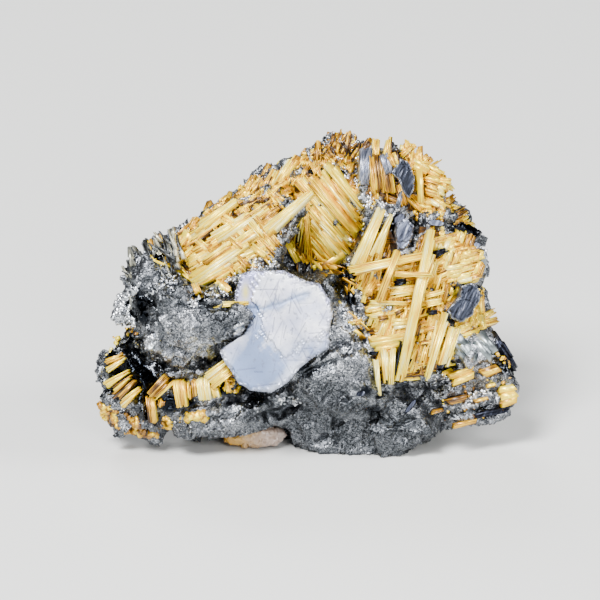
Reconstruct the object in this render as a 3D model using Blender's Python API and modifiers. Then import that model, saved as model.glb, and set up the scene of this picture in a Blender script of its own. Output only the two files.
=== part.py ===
"""Rutile crystal cluster: golden rutile laths grown over grey specular hematite.

Metres, +Z up, +X to the viewer's right, +Y away from the viewer. The origin lies on the resting
plane, under the middle of the specimen. Lengths below are millimetres until MM turns them to metres.

The specimen is looked at from SIGHT_DEG above the table. Across and up are distances seen from there,
square to the line of sight, and depth is the distance back along Y, so each form is placed by what the
viewer sees and how far back it is. MIDDLE_DEPTH is the depth of the middle, where the origin is.
"""

import math
import random
from collections import namedtuple

import bmesh
import bpy
from mathutils import Euler, Vector

MM = 0.001
SIGHT_DEG = 20.0
SIGHT_SIN = math.sin(math.radians(SIGHT_DEG))
SIGHT_COS = math.cos(math.radians(SIGHT_DEG))
MIDDLE_DEPTH = 2.27
GAP = 0.34
SOCKET_DEPTH = 0.5
BED_THICKNESS = 1.0
CLEAR_IN_FRONT = 9.0

# Colours as linear red, green, blue.
HEMATITE_GREY = (0.13, 0.135, 0.145)
HEMATITE_DARK = (0.05, 0.055, 0.075)
HEMATITE_SILVER = (0.55, 0.58, 0.66)
RUTILE_GOLD = (0.72, 0.45, 0.12)
QUARTZ_CLOUDED = (0.62, 0.50, 0.40)

# The matrix: rough lumps, each across, up, depth, and its three half sizes.
MATRIX_LUMPS = {
    "core": (0.5, 10.8, 1.0, 13.5, 7.0, 8.6),
    "foot": (1.0, 4.0, 2.0, 14.5, 6.8, 4.4),
    "keel": (8.8, 1.9, -2.6, 4.4, 3.6, 3.4),
    "lower_front": (3.8, 6.8, -4.2, 6.6, 4.4, 5.2),
    "lower_left_front": (-8.0, 3.0, -2.2, 6.4, 4.4, 3.2),
    "left_lobe": (-15.6, 4.3, -1.6, 5.0, 4.4, 3.9),
    "left_tip": (-18.3, 5.6, -1.4, 2.7, 3.4, 3.3),
    "left_neck": (-13.8, 8.4, 0.2, 5.0, 4.6, 4.0),
    "tongue_root": (-12.0, 12.2, -3.6, 4.6, 4.4, 5.0),
    "tongue": (-9.8, 12.0, -6.6, 4.4, 2.8, 3.1),
    "tongue_tip": (-7.4, 12.0, -8.2, 2.2, 1.4, 1.5),
    "left_fringe": (-15.2, 15.6, -0.2, 2.4, 3.2, 3.8),
    "slope_low": (-10.2, 17.6, 4.2, 5.6, 4.2, 3.7),
    "lattice_back": (-6.2, 20.4, 2.6, 4.8, 2.8, 2.6),
    "ridge_back": (-3.0, 24.0, 7.2, 3.6, 2.8, 3.0),
    "hollow_back": (1.6, 21.8, 8.2, 5.2, 3.2, 4.4),
    "slope_mid": (-4.6, 21.0, 6.6, 5.0, 3.6, 3.4),
    "crest": (2.6, 26.4, 8.4, 4.8, 3.2, 3.2),
    "shoulder": (9.2, 24.6, 6.6, 4.3, 3.4, 4.2),
    "right_block": (11.4, 16.0, 2.6, 6.0, 4.8, 6.8),
    "vein": (6.6, 21.6, 2.8, 3.4, 3.2, 2.8),
    "wing": (14.4, 5.2, -0.2, 5.6, 4.6, 3.9),
    "wing_tip": (18.0, 5.4, -0.8, 2.8, 3.4, 3.0),
    "wing_back": (15.2, 10.8, 2.6, 3.6, 4.8, 4.4),
    "back": (0.0, 14.8, 7.4, 12.0, 4.8, 8.2),
    "back_right": (11.8, 18.4, 7.4, 4.6, 4.4, 5.6),
    "back_foot": (2.0, 7.0, 8.0, 12.5, 4.6, 4.6),
}
LUMP_POINTS = 34
LUMP_ROUGHNESS = 0.10
LUMP_JITTER = 0.3
GRAIN_VOXEL = 0.5
GRAIN_HEIGHT = 1.5
GRAIN_SIZE = 2.6
GRAIN_KEPT_SHARE = 0.036

# Small flat crystals over the lumps: how many, half sizes, and how far each sinks in and leans.
PLATELET_COUNT = 34
PLATELET_SIZE = (0.9, 1.9)
PLATELET_FLATNESS = 0.38
PLATELET_NARROWING = (0.7, 1.0)
PLATELET_HEIGHTS = (-0.6, 0.9)
PLATELET_SINK = 0.95
PLATELET_LEAN = 0.6
PLATELET_POINTS = 12

# The sole: the flat face that the specimen rests on, as X and Y, and the step that the rest clears the table by.
SOLE_OUTLINE = (
    (-6.8, 3.4), (-6.2, -0.9), (-0.6, -2.4), (0.6, -6.4), (7.8, -7.2), (9.4, -3.6), (8.0, 4.4), (3.6, 6.2),
)
SOLE_STEP = 0.2
SOLE_HEIGHT = 1.8
TABLE_HALF_SIZES = (40, 40, 10)

# Single crystals fused into the matrix: across, up, depth, half sizes, and turns in degrees about X, Y and Z.
MATRIX_CRYSTALS = (
    (17.0, 9.4, -1.9, 2.3, 1.3, 1.0, 10, 32, -8),
    (15.6, 8.4, -3.0, 1.3, 0.9, 0.9, 25, -20, 15),
    (18.7, 8.0, -2.3, 1.2, 1.0, 0.8, -15, 48, 10),
    (13.2, 22.2, 2.0, 1.5, 0.9, 0.6, 20, 15, 10),
    (15.9, 20.4, 2.4, 1.2, 1.0, 0.9, 10, 40, -10),
    (-17.6, 12.8, -1.6, 0.9, 0.6, 0.5, 0, 35, 20),
    (-16.2, 10.6, -3.6, 1.1, 0.8, 0.6, 30, -25, 0),
    (3.2, 24.0, 3.0, 0.9, 0.6, 1.5, 0, -40, 10),
)

# Flat faces that the crystals grew on: a point of each as across, up, depth, and the way that it looks.
LEFT_FACE = ((-8.0, 18.0, -1.6), (-0.25, -0.70, 0.67))
RIDGE_FACE = ((-6.0, 23.2, 4.2), (-0.30, -0.80, 0.52))
HOLLOW_FACE = ((1.0, 21.0, 3.6), (-0.27, -0.95, 0.10))
CREST_FACE = ((3.0, 28.4, 6.9), (-0.15, -0.78, 0.60))
SHOULDER_FACE = ((9.0, 25.5, 2.8), (0.18, -0.88, 0.44))
RIGHT_FACE = ((9.0, 15.0, -2.6), (0.15, -0.93, 0.33))
RIGHT_SLOPE_FACE = ((14.6, 21.4, 6.2), (0.45, -0.50, 0.74))
COMB_FACE = ((-11.5, 5.0, -6.0), (-0.20, -0.96, 0.16))
SPRAY_FACE = ((-18.6, 5.6, -4.4), (-0.30, -0.90, 0.30))
WING_FACE = ((17.2, 4.6, -3.9), (0.20, -0.94, 0.22))
PLATE_FACE = ((-3.0, 10.8, -7.9), (0.02, -0.955, 0.295))
FRINGE_FACE = ((-15.0, 16.5, -1.8), (-0.45, -0.80, 0.40))
BACK_FACE = ((2.0, 16.4, 11.3), (0.08, 0.97, 0.22))

# A rutile group: its laths are where each begins and ends as seen (across, up, across, up), the widths
# there, and how far it stands above the face. Short laths at the angles in ways, counted anticlockwise
# from across, fill its bed.
RutileGroup = namedtuple("RutileGroup", "name face bed laths ways fill_count fill_length")
FILL_WIDTH = (0.45, 1.1)
FILL_TAPER = 0.85
FILL_LIFT = (0.25, 1.0)
FILL_ANGLE_SPREAD = 3.0
FILL_OVERHANG = 0.5

RUTILE_GROUPS = (
    RutileGroup(
        "rutile_lattice_left",
        LEFT_FACE,
        ((-13.4, 18.0), (-11.4, 15.6), (-8.0, 16.4), (-4.2, 17.2), (-3.2, 19.6), (-1.2, 22.8), (-4.6, 24.2),
         (-9.0, 23.0), (-12.0, 20.6)),
        (
            (-4.0, 20.8, 0.4, 24.8, 2.0, 0.5, 1.9),
            (-7.3, 19.4, -5.5, 20.6, 0.9, 0.9, 1.7),
            (-11.1, 20.8, -7.0, 24.0, 0.6, 0.5, 1.5),
            (-10.1, 19.9, -5.7, 22.5, 0.8, 0.8, 0.9),
            (-8.9, 19.8, -3.9, 23.3, 0.7, 0.7, 1.2),
            (-11.6, 16.0, -5.9, 19.8, 1.2, 0.9, 1.6),
            (-10.3, 17.7, -7.5, 19.6, 0.7, 0.6, 2.0),
            (-11.2, 15.4, -8.1, 17.2, 0.8, 0.5, 1.2),
            (-13.7, 18.3, -12.2, 20.4, 0.5, 1.0, 1.0),
            (-13.0, 17.8, -11.2, 19.3, 0.5, 0.6, 1.0),
            (-8.1, 17.7, -4.4, 19.4, 0.6, 0.6, 1.0),
            (-5.6, 21.8, -4.5, 20.4, 0.7, 0.6, 2.1),
            (-7.7, 20.2, -6.5, 19.1, 0.5, 0.5, 1.9),
            (-5.5, 19.5, -4.2, 18.4, 0.5, 0.5, 1.6),
            (-11.1, 20.1, -9.9, 19.1, 0.6, 0.6, 1.2),
            (-8.6, 22.4, -7.3, 21.6, 0.9, 0.9, 1.1),
            (-6.9, 18.3, -6.0, 17.4, 0.6, 0.6, 1.3),
        ),
        (33, 33, -48), 10, (1.2, 3.6),
    ),
    RutileGroup(
        "rutile_ridge",
        RIDGE_FACE,
        ((-10.2, 21.8), (-7.0, 22.6), (-3.6, 24.2), (-2.3, 25.4), (-2.3, 27.0), (-5.4, 25.2), (-9.6, 22.8)),
        (
            (-5.6, 23.9, -4.4, 25.9, 0.9, 0.7, 0.9),
            (-4.4, 24.4, -3.1, 26.9, 1.0, 0.7, 0.7),
            (-3.4, 24.9, -1.6, 27.9, 0.8, 0.6, 1.0),
            (-7.1, 23.1, -6.1, 25.0, 0.9, 0.7, 0.8),
            (-8.6, 22.5, -7.4, 23.9, 0.8, 0.6, 0.8),
            (-10.1, 21.7, -9.1, 23.1, 0.7, 0.6, 0.6),
            (-2.5, 26.2, -0.9, 28.5, 0.9, 0.6, 0.8),
            (-6.3, 24.0, -5.4, 25.9, 0.6, 0.5, 1.3),
        ),
        (60, 62, 35), 4, (0.9, 2.2),
    ),
    RutileGroup(
        "rutile_hollow",
        HOLLOW_FACE,
        ((-1.6, 26.0), (-1.8, 22.0), (-1.8, 18.4), (1.4, 17.0), (4.4, 17.6), (5.4, 20.6), (5.4, 24.0), (3.0, 26.2)),
        (
            (0.2, 25.9, 4.8, 20.4, 0.9, 0.7, 1.4),
            (1.2, 26.7, 5.0, 21.7, 0.6, 0.5, 1.0),
            (1.9, 27.4, 5.6, 22.9, 0.7, 0.6, 1.3),
            (-0.1, 24.9, 3.8, 20.2, 0.7, 0.6, 0.6),
            (0.2, 21.7, 3.0, 18.3, 0.6, 0.5, 0.9),
            (-0.5, 21.0, 1.7, 18.4, 0.5, 0.5, 0.8),
            (1.2, 22.4, 3.9, 19.2, 0.5, 0.5, 0.6),
            (-1.9, 19.6, -0.9, 17.6, 0.7, 0.5, 0.9),
            (-1.0, 19.2, 0.0, 17.4, 0.7, 0.5, 1.1),
        ),
        (-49, -49, -49, 62), 7, (1.4, 4.0),
    ),
    RutileGroup(
        "rutile_crest",
        CREST_FACE,
        ((0.4, 27.2), (1.2, 29.0), (3.0, 30.0), (5.2, 29.0), (5.8, 27.2), (3.6, 26.6)),
        (
            (2.6, 28.4, 2.9, 30.7, 0.9, 0.7, 0.5),
            (3.8, 28.2, 4.3, 30.5, 0.8, 0.6, 0.7),
            (1.2, 27.6, 1.1, 29.9, 0.8, 0.6, 0.4),
            (5.0, 27.6, 5.4, 29.6, 0.7, 0.6, 0.5),
        ),
        (80, 60, -49), 4, (0.8, 1.8),
    ),
    RutileGroup(
        "rutile_shoulder",
        SHOULDER_FACE,
        ((6.4, 24.2), (6.4, 28.0), (8.6, 28.8), (11.0, 27.6), (13.0, 26.0), (13.4, 23.4), (10.6, 22.8)),
        (
            (7.5, 24.6, 7.1, 28.4, 1.7, 1.6, 1.2),
            (8.7, 24.6, 8.1, 28.2, 0.6, 0.7, 1.4),
            (9.8, 23.3, 9.2, 25.4, 0.9, 0.8, 1.0),
            (8.0, 27.6, 8.4, 30.2, 0.9, 0.5, 0.7),
            (6.9, 27.6, 7.1, 30.0, 0.8, 0.7, 0.5),
            (10.7, 27.2, 12.6, 25.8, 1.2, 1.1, 1.1),
            (11.7, 27.8, 13.6, 26.5, 1.2, 1.0, 0.8),
            (11.2, 25.2, 13.5, 23.5, 1.2, 1.0, 1.2),
            (12.2, 26.1, 13.9, 24.9, 1.1, 0.9, 0.8),
            (10.4, 24.4, 12.4, 22.8, 1.0, 0.9, 0.7),
            (9.6, 28.2, 10.6, 29.2, 0.8, 0.6, 0.5),
        ),
        (95, -38), 3, (1.0, 2.2),
    ),
    RutileGroup(
        "rutile_lattice_right",
        RIGHT_FACE,
        ((5.0, 16.4), (7.2, 21.4), (8.2, 21.2), (8.5, 18.2), (11.0, 18.3), (11.4, 21.2), (12.8, 21.0), (16.8, 19.0),
         (17.4, 16.3), (14.7, 15.8), (13.7, 14.2), (13.7, 11.5), (14.8, 11.2), (14.4, 9.0), (12.8, 6.6), (9.0, 6.0),
         (7.2, 5.4), (6.4, 10.4)),
        (
            (5.1, 17.2, 7.6, 23.0, 1.3, 0.8, 1.6),
            (6.7, 18.2, 8.6, 22.4, 0.8, 0.4, 1.9),
            (7.3, 13.8, 9.2, 18.8, 0.6, 0.6, 2.6),
            (9.4, 5.8, 12.6, 20.9, 0.9, 0.9, 2.7),
            (11.2, 13.9, 12.9, 18.4, 0.5, 0.5, 2.3),
            (13.7, 7.4, 14.9, 11.2, 1.0, 1.2, 1.9),
            (12.0, 5.9, 14.0, 12.6, 0.5, 0.8, 2.1),
            (12.6, 8.1, 13.4, 11.9, 0.8, 0.8, 1.4),
            (8.3, 5.5, 8.2, 9.1, 0.9, 1.5, 1.7),
            (7.3, 4.4, 7.0, 8.0, 0.4, 0.5, 1.3),
            (5.5, 14.9, 6.6, 17.4, 0.8, 0.6, 0.6),
            (6.4, 11.2, 7.4, 13.9, 0.7, 0.6, 0.5),
            (4.2, 16.7, 12.6, 18.5, 1.1, 0.7, 2.2),
            (8.9, 16.5, 12.5, 16.4, 0.5, 0.5, 3.0),
            (8.4, 14.6, 11.3, 15.0, 1.1, 1.0, 1.6),
            (6.5, 13.7, 10.8, 13.5, 0.4, 0.4, 1.4),
            (12.0, 14.3, 13.8, 14.8, 0.5, 0.5, 1.8),
            (12.0, 13.5, 13.6, 13.8, 0.7, 0.6, 1.6),
            (12.2, 19.6, 14.0, 20.1, 0.6, 0.6, 1.5),
            (12.7, 17.7, 14.9, 18.9, 1.2, 1.1, 0.9),
            (13.1, 16.1, 15.6, 17.3, 1.4, 1.2, 1.0),
            (14.9, 18.4, 17.2, 18.9, 1.5, 1.2, 0.5),
            (15.6, 16.4, 17.6, 17.7, 1.2, 1.0, 0.4),
            (8.7, 11.5, 10.6, 11.7, 1.1, 1.0, 1.2),
            (6.6, 9.4, 10.2, 10.1, 1.5, 1.2, 1.0),
        ),
        (72, 76, 12), 10, (1.2, 3.4),
    ),
    RutileGroup(
        "rutile_right_slope",
        RIGHT_SLOPE_FACE,
        ((12.6, 22.0), (13.6, 23.8), (15.8, 22.6), (16.8, 20.6), (14.6, 20.2)),
        (
            (13.4, 23.0, 15.0, 24.4, 0.9, 0.7, 0.5),
            (14.4, 22.2, 16.2, 23.2, 0.9, 0.7, 0.6),
            (15.0, 21.2, 16.9, 21.8, 0.8, 0.7, 0.6),
        ),
        (35, 20), 3, (0.9, 1.8),
    ),
    RutileGroup(
        "rutile_comb",
        COMB_FACE,
        ((-15.6, 4.6), (-15.0, 2.2), (-12.6, 1.8), (-9.4, 2.6), (-7.9, 5.2), (-8.2, 7.0), (-12.4, 6.2)),
        (
            (-12.8, 5.8, -12.4, 3.2, 1.2, 1.1, 1.0),
            (-11.7, 5.6, -11.6, 4.0, 0.4, 0.4, 0.8),
            (-11.3, 5.9, -11.1, 4.2, 0.4, 0.4, 0.9),
            (-10.4, 6.0, -10.1, 3.9, 1.4, 1.2, 1.0),
            (-9.2, 5.2, -8.9, 4.1, 0.6, 0.6, 0.8),
            (-9.8, 5.7, -7.7, 7.3, 1.8, 1.7, 1.3),
            (-13.8, 5.9, -15.5, 4.2, 1.4, 1.2, 1.3),
            (-15.6, 4.2, -15.3, 1.6, 0.9, 0.8, 0.8),
            (-14.4, 4.0, -14.5, 3.2, 0.7, 0.6, 0.6),
        ),
        (-80, 20), 2, (0.8, 1.8),
    ),
    RutileGroup(
        "rutile_spray",
        SPRAY_FACE,
        ((-20.2, 5.2), (-20.4, 7.6), (-18.4, 8.2), (-17.2, 6.2), (-17.0, 4.4), (-18.6, 3.2)),
        (
            (-20.1, 5.4, -17.8, 6.8, 0.8, 0.3, 0.9),
            (-19.4, 4.7, -17.5, 6.3, 0.8, 0.3, 1.0),
            (-19.1, 3.9, -17.1, 5.9, 0.8, 0.3, 0.9),
            (-18.6, 3.4, -16.7, 5.1, 0.9, 0.4, 0.8),
            (-20.1, 7.7, -18.3, 8.4, 0.6, 0.4, 0.7),
            (-19.9, 6.9, -18.1, 8.1, 0.6, 0.4, 0.6),
        ),
        (40, 30), 2, (0.8, 1.6),
    ),
    RutileGroup(
        "rutile_wing",
        WING_FACE,
        ((14.6, 2.4), (14.4, 6.0), (17.0, 7.0), (19.2, 7.2), (20.4, 5.2), (20.2, 3.4), (18.2, 2.0)),
        (
            (14.4, 5.8, 16.8, 6.9, 1.4, 1.0, 0.8),
            (17.2, 6.4, 19.4, 7.5, 0.9, 0.8, 0.8),
            (14.2, 3.7, 16.2, 4.3, 0.7, 0.7, 0.7),
            (19.3, 4.2, 21.1, 4.7, 2.2, 1.9, 0.7),
            (14.9, 1.2, 18.8, 2.3, 0.8, 0.8, 0.6),
            (16.6, 3.0, 20.4, 3.9, 0.5, 0.5, 0.9),
        ),
        (22, 16), 3, (0.9, 2.2),
    ),
    RutileGroup(
        "rutile_back",
        BACK_FACE,
        ((-5.4, 13.4), (-0.4, 10.8), (5.6, 11.2), (9.8, 14.6), (9.0, 19.4), (4.4, 22.0), (-1.6, 21.0), (-5.2, 17.6)),
        (
            (-5.0, 14.2, 6.4, 20.8, 1.1, 0.7, 1.2),
            (-3.4, 12.2, 7.8, 18.6, 1.0, 0.8, 0.9),
            (-0.6, 20.6, 0.0, 11.6, 1.0, 0.8, 1.5),
            (4.0, 21.4, 4.6, 12.2, 0.9, 0.7, 1.1),
            (-4.6, 17.8, 7.4, 12.8, 0.8, 0.6, 0.7),
            (-1.8, 20.2, 8.6, 16.0, 0.9, 0.7, 1.4),
        ),
        (30, -25, 87), 8, (1.6, 4.6),
    ),
)

# The large hematite plate that faces the viewer, as seen: the whole plate, and the terrace that stands on it.
PLATE_OUTLINE = (
    (-6.5, 16.5), (-5.4, 16.9), (-2.1, 16.9), (0.2, 15.8), (1.4, 15.6), (2.5, 13.8), (2.8, 12.5), (2.4, 10.9),
    (2.4, 9.1), (0.6, 8.0), (-0.6, 7.0), (-1.7, 5.7), (-3.4, 4.6), (-5.4, 4.8), (-7.2, 6.7), (-8.2, 7.7),
    (-8.7, 8.9), (-7.9, 9.4), (-6.2, 10.5), (-5.4, 12.5), (-6.2, 13.2), (-7.2, 13.9), (-7.1, 14.6),
)
PLATE_TERRACE = (
    (-5.0, 16.6), (-2.1, 16.7), (0.1, 15.6), (1.3, 15.3), (2.3, 13.6), (2.6, 12.4), (2.2, 10.9), (1.4, 10.0),
    (0.2, 10.2), (-0.9, 8.9), (-2.5, 8.2), (-3.4, 9.7), (-4.6, 10.2), (-4.4, 12.6), (-5.2, 13.9),
)
PLATE_THICKNESS = 1.0
TERRACE_HEIGHT = 0.22

# Smaller dark hematite plates: outline as seen, face, how far they stand above it, and thickness.
DarkPlate = namedtuple("DarkPlate", "name outline face top thickness")
DARK_PLATES = (
    DarkPlate(
        "hematite_blade_top",
        ((8.2, 27.4), (9.4, 28.1), (10.7, 27.0), (11.1, 25.6), (10.8, 23.9), (9.9, 24.4), (9.0, 25.9)),
        SHOULDER_FACE, 2.1, 0.5,
    ),
    DarkPlate(
        "hematite_plate_right",
        ((14.2, 13.1), (15.2, 13.9), (15.5, 15.3), (16.6, 15.7), (17.3, 15.1), (17.2, 13.8), (16.9, 12.6),
         (15.4, 12.0), (14.2, 12.4)),
        RIGHT_FACE, 1.2, 2.2,
    ),
    DarkPlate(
        "hematite_disc",
        ((8.9, 20.8), (9.3, 21.7), (10.1, 22.0), (10.7, 21.3), (10.6, 20.2), (9.9, 18.9), (9.1, 18.9)),
        RIGHT_FACE, 0.1, 1.1,
    ),
)

# Coated needles that fan up and out at the left, fused into the matrix.
FRINGE_LATHS = (
    (-15.2, 14.6, -17.6, 19.4, 0.9, 0.4, 0.8),
    (-14.6, 15.6, -16.4, 19.9, 0.8, 0.4, 1.0),
    (-14.0, 16.4, -15.3, 20.3, 0.8, 0.4, 0.9),
    (-15.6, 13.8, -17.9, 17.9, 0.9, 0.4, 0.7),
    (-16.0, 12.8, -18.2, 16.2, 0.8, 0.4, 0.6),
    (-13.0, 16.9, -14.2, 20.4, 0.8, 0.5, 0.7),
    (-16.4, 12.2, -18.6, 14.6, 0.7, 0.4, 0.5),
    (-16.2, 11.4, -18.8, 12.6, 0.7, 0.4, 0.6),
)

# The quartz chip under the front left edge: across, up, depth, and half sizes.
QUARTZ_CHIP = (-5.4, 0.45, -2.4, 3.8, 1.7, 1.25)
CHIP_POINTS = 16


def seen(across, up, depth):
    """The point, in millimetres, that the viewer sees that far across and up, at that depth."""
    return Vector((across, depth - MIDDLE_DEPTH, (up - depth * SIGHT_SIN) / SIGHT_COS))


def on_face(face, across, up, lift=0.0):
    """Where the line of sight at across, up meets the face raised by lift."""
    through, looks = face
    normal = Vector(looks).normalized()
    sight = Vector((0, SIGHT_COS, -SIGHT_SIN))
    start = seen(across, up, 0.0)
    reach = ((seen(*through) - start).dot(normal) + lift) / sight.dot(normal)
    return start + sight * reach


def clear_scene():
    for old in list(bpy.data.objects):
        bpy.data.objects.remove(old)


def new_collection(name, parent=None):
    made = bpy.data.collections.new(name)
    (parent or bpy.context.scene.collection).children.link(made)
    return made


def add_object(name, shape, collection):
    """A new mesh object from a bmesh in millimetres."""
    mesh = bpy.data.meshes.new(name)
    bmesh.ops.scale(shape, vec=(MM, MM, MM), verts=shape.verts)
    shape.to_mesh(mesh)
    shape.free()
    made = bpy.data.objects.new(name, mesh)
    collection.objects.link(made)
    return made


def add_helper(name, shape, collection):
    """A guide or a cutter: it shapes the parts and isn't one."""
    made = add_object(name, shape, collection)
    made.hide_render = True
    made.display_type = "WIRE"
    return made


def give_material(made, name, colour, metallic, roughness):
    material = bpy.data.materials.get(name) or bpy.data.materials.new(name)
    material.use_nodes = True
    shader = material.node_tree.nodes["Principled BSDF"]
    shader.inputs["Base Color"].default_value = (*colour, 1.0)
    shader.inputs["Metallic"].default_value = metallic
    shader.inputs["Roughness"].default_value = roughness
    made.data.materials.clear()
    made.data.materials.append(material)


def hull_of(points):
    """A bmesh that is the convex hull of some points."""
    shape = bmesh.new()
    for point in points:
        shape.verts.new(point)
    result = bmesh.ops.convex_hull(shape, input=shape.verts)
    inner = [item for item in result["geom_interior"] if isinstance(item, bmesh.types.BMVert)]
    bmesh.ops.delete(shape, geom=inner, context="VERTS")
    bmesh.ops.recalc_face_normals(shape, faces=shape.faces)
    return shape


def lump(centre, half_sizes, count, dice, turn=None):
    """A rough lump: points set round an ellipsoid by the golden angle, each moved a little, and hulled."""
    golden = math.pi * (3 - math.sqrt(5))
    points = []
    for index in range(count):
        height = 1 - 2 * (index + 0.5) / count
        ring = math.sqrt(1 - height * height)
        angle = golden * index + dice.uniform(-LUMP_JITTER, LUMP_JITTER)
        out = 1 + dice.uniform(-LUMP_ROUGHNESS, LUMP_ROUGHNESS)
        direction = Vector((ring * math.cos(angle), ring * math.sin(angle), height)) * out
        spot = Vector([a * b for a, b in zip(direction, half_sizes)])
        if turn is not None:
            spot.rotate(turn)
        points.append(centre + spot)
    return hull_of(points)


def block(centre, half_sizes, turn):
    """A straight-sided crystal."""
    shape = bmesh.new()
    bmesh.ops.create_cube(shape, size=2.0)
    bmesh.ops.scale(shape, vec=half_sizes, verts=shape.verts)
    bmesh.ops.rotate(shape, matrix=turn.to_matrix(), verts=shape.verts)
    bmesh.ops.translate(shape, vec=centre, verts=shape.verts)
    return shape


def upright_block(outline, height):
    """A flat outline on the table, extruded straight up."""
    shape = bmesh.new()
    rim = [shape.verts.new((x, y, 0.0)) for x, y in outline]
    grown = bmesh.ops.extrude_face_region(shape, geom=[shape.faces.new(rim)])
    upper = [item for item in grown["geom"] if isinstance(item, bmesh.types.BMVert)]
    bmesh.ops.translate(shape, vec=(0.0, 0.0, height), verts=upper)
    bmesh.ops.recalc_face_normals(shape, faces=shape.faces)
    return shape


def lath_corners(face, lath):
    """The eight corners of a lath: its top runs from start to end above the face, its foot is under it."""
    across1, up1, across2, up2, start_width, end_width, lift = lath
    normal = Vector(face[1]).normalized()
    start = on_face(face, across1, up1, lift)
    end = on_face(face, across2, up2, lift)
    side = (end - start).cross(normal).normalized()
    corners = []
    for point, width in ((start, start_width), (end, end_width)):
        for half in (-0.5, 0.5):
            edge = point + side * (half * width)
            corners += [edge, edge - normal * (lift + SOCKET_DEPTH)]
    return corners


def is_inside(outline, across, up):
    """Whether a point is within an outline: a line from it to the right crosses an odd number of the sides."""
    odd = False
    for (a1, u1), (a2, u2) in zip(outline, outline[1:] + outline[:1]):
        if (u1 > up) != (u2 > up) and across < a1 + (up - u1) * (a2 - a1) / (u2 - u1):
            odd = not odd
    return odd


def fill_laths(group):
    """Short laths at random places in the bed, along the group's own directions."""
    dice = random.Random(group.name)
    low = [min(values) for values in zip(*group.bed)]
    high = [max(values) for values in zip(*group.bed)]
    made = []
    while len(made) < group.fill_count:
        across, up = dice.uniform(low[0], high[0]), dice.uniform(low[1], high[1])
        angle = math.radians(dice.choice(group.ways) + dice.uniform(-FILL_ANGLE_SPREAD, FILL_ANGLE_SPREAD))
        length = dice.uniform(*group.fill_length)
        width, lift = dice.uniform(*FILL_WIDTH), dice.uniform(*FILL_LIFT)
        reach = Vector((math.cos(angle), math.sin(angle))) * length
        checked = reach * (1 - FILL_OVERHANG / length)
        starts_inside = is_inside(group.bed, across, up)
        if starts_inside and is_inside(group.bed, across + checked.x, up + checked.y):
            made.append((across, up, across + reach.x, up + reach.y, width, width * FILL_TAPER, lift))
    return tuple(made)


def slab_points(face, outline, top, thickness, grow=0.0):
    """The outline as seen, laid at height top above the face, and again below that by thickness."""
    normal = Vector(face[1]).normalized()
    middle = Vector([sum(values) / len(outline) for values in zip(*outline)])
    points = []
    for height in (top + grow, top - thickness - grow):
        for corner in outline:
            spoke = Vector(corner) - middle
            spot = middle + spoke * (1 + grow / spoke.length)
            points.append(on_face(face, spot.x, spot.y) + normal * height)
    return points


def slab(face, outline, top, thickness, grow=0.0):
    """A flat piece of that outline: one face, extruded by the thickness."""
    points = slab_points(face, outline, top, thickness, grow)
    shape = bmesh.new()
    rim = [shape.verts.new(point) for point in points[: len(outline)]]
    grown = bmesh.ops.extrude_face_region(shape, geom=[shape.faces.new(rim)])
    lower = [item for item in grown["geom"] if isinstance(item, bmesh.types.BMVert)]
    bmesh.ops.translate(shape, vec=points[len(outline)] - points[0], verts=lower)
    bmesh.ops.recalc_face_normals(shape, faces=shape.faces)
    return shape


def boolean(made, operation, collection):
    """Joins to an object, or cuts out of it, all the objects of a collection."""
    modifier = made.modifiers.new(operation.lower(), "BOOLEAN")
    modifier.operation = operation
    modifier.solver = "EXACT"
    modifier.operand_type = "COLLECTION"
    modifier.collection = collection


def drop_loose_chips(made):
    """The cuts can leave a chip that nothing holds, so only the body with the most corners stays."""
    evaluated = made.evaluated_get(bpy.context.evaluated_depsgraph_get())
    mesh = bpy.data.meshes.new_from_object(evaluated)
    shape = bmesh.new()
    shape.from_mesh(mesh)
    unseen = set(shape.verts)
    bodies = []
    while unseen:
        reached = [unseen.pop()]
        body = set(reached)
        while reached:
            corner = reached.pop()
            beside = {edge.other_vert(corner) for edge in corner.link_edges} - body
            body |= beside
            reached += beside
        unseen -= body
        bodies.append(body)
    bodies.sort(key=len)
    loose = [corner for body in bodies[:-1] for corner in body]
    bmesh.ops.delete(shape, geom=loose, context="VERTS")
    shape.to_mesh(mesh)
    shape.free()
    made.modifiers.clear()
    made.data = mesh


def build_rutile_group(group, parts, helpers, cutters):
    """Laths fused on their bed, and the room that the matrix leaves for them, open on the side they face."""
    made = add_object(group.name, slab(group.face, group.bed, 0.0, BED_THICKNESS), parts)
    laths = new_collection(group.name + "_laths", helpers)
    corners = slab_points(group.face, group.bed, 0.0, BED_THICKNESS)
    for index, lath in enumerate(group.laths + fill_laths(group)):
        box = lath_corners(group.face, lath)
        add_helper(f"{group.name}_lath_{index}", hull_of(box), laths)
        corners += box
    boolean(made, "UNION", laths)
    give_material(made, "rutile", RUTILE_GOLD, 0.0, 0.35)
    normal = Vector(group.face[1]).normalized()
    middle = sum(corners, Vector()) / len(corners)
    roomy = [corner + (corner - middle).normalized() * GAP - normal * GAP for corner in corners]
    roomy += [corner + normal * CLEAR_IN_FRONT for corner in roomy]
    add_helper(group.name + "_room", hull_of(roomy), cutters)


def build_plate(parts, helpers, cutters):
    """The large silver plate, with its terrace."""
    made = add_object("hematite_plate", slab(PLATE_FACE, PLATE_OUTLINE, 0.0, PLATE_THICKNESS), parts)
    terrace = new_collection("plate_terrace", helpers)
    add_helper("terrace", slab(PLATE_FACE, PLATE_TERRACE, TERRACE_HEIGHT, TERRACE_HEIGHT * 2), terrace)
    boolean(made, "UNION", terrace)
    give_material(made, "hematite_silver", HEMATITE_SILVER, 0.8, 0.35)
    roomy = slab(PLATE_FACE, PLATE_OUTLINE, TERRACE_HEIGHT, PLATE_THICKNESS + TERRACE_HEIGHT, GAP)
    add_helper("plate_room", roomy, cutters)


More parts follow.
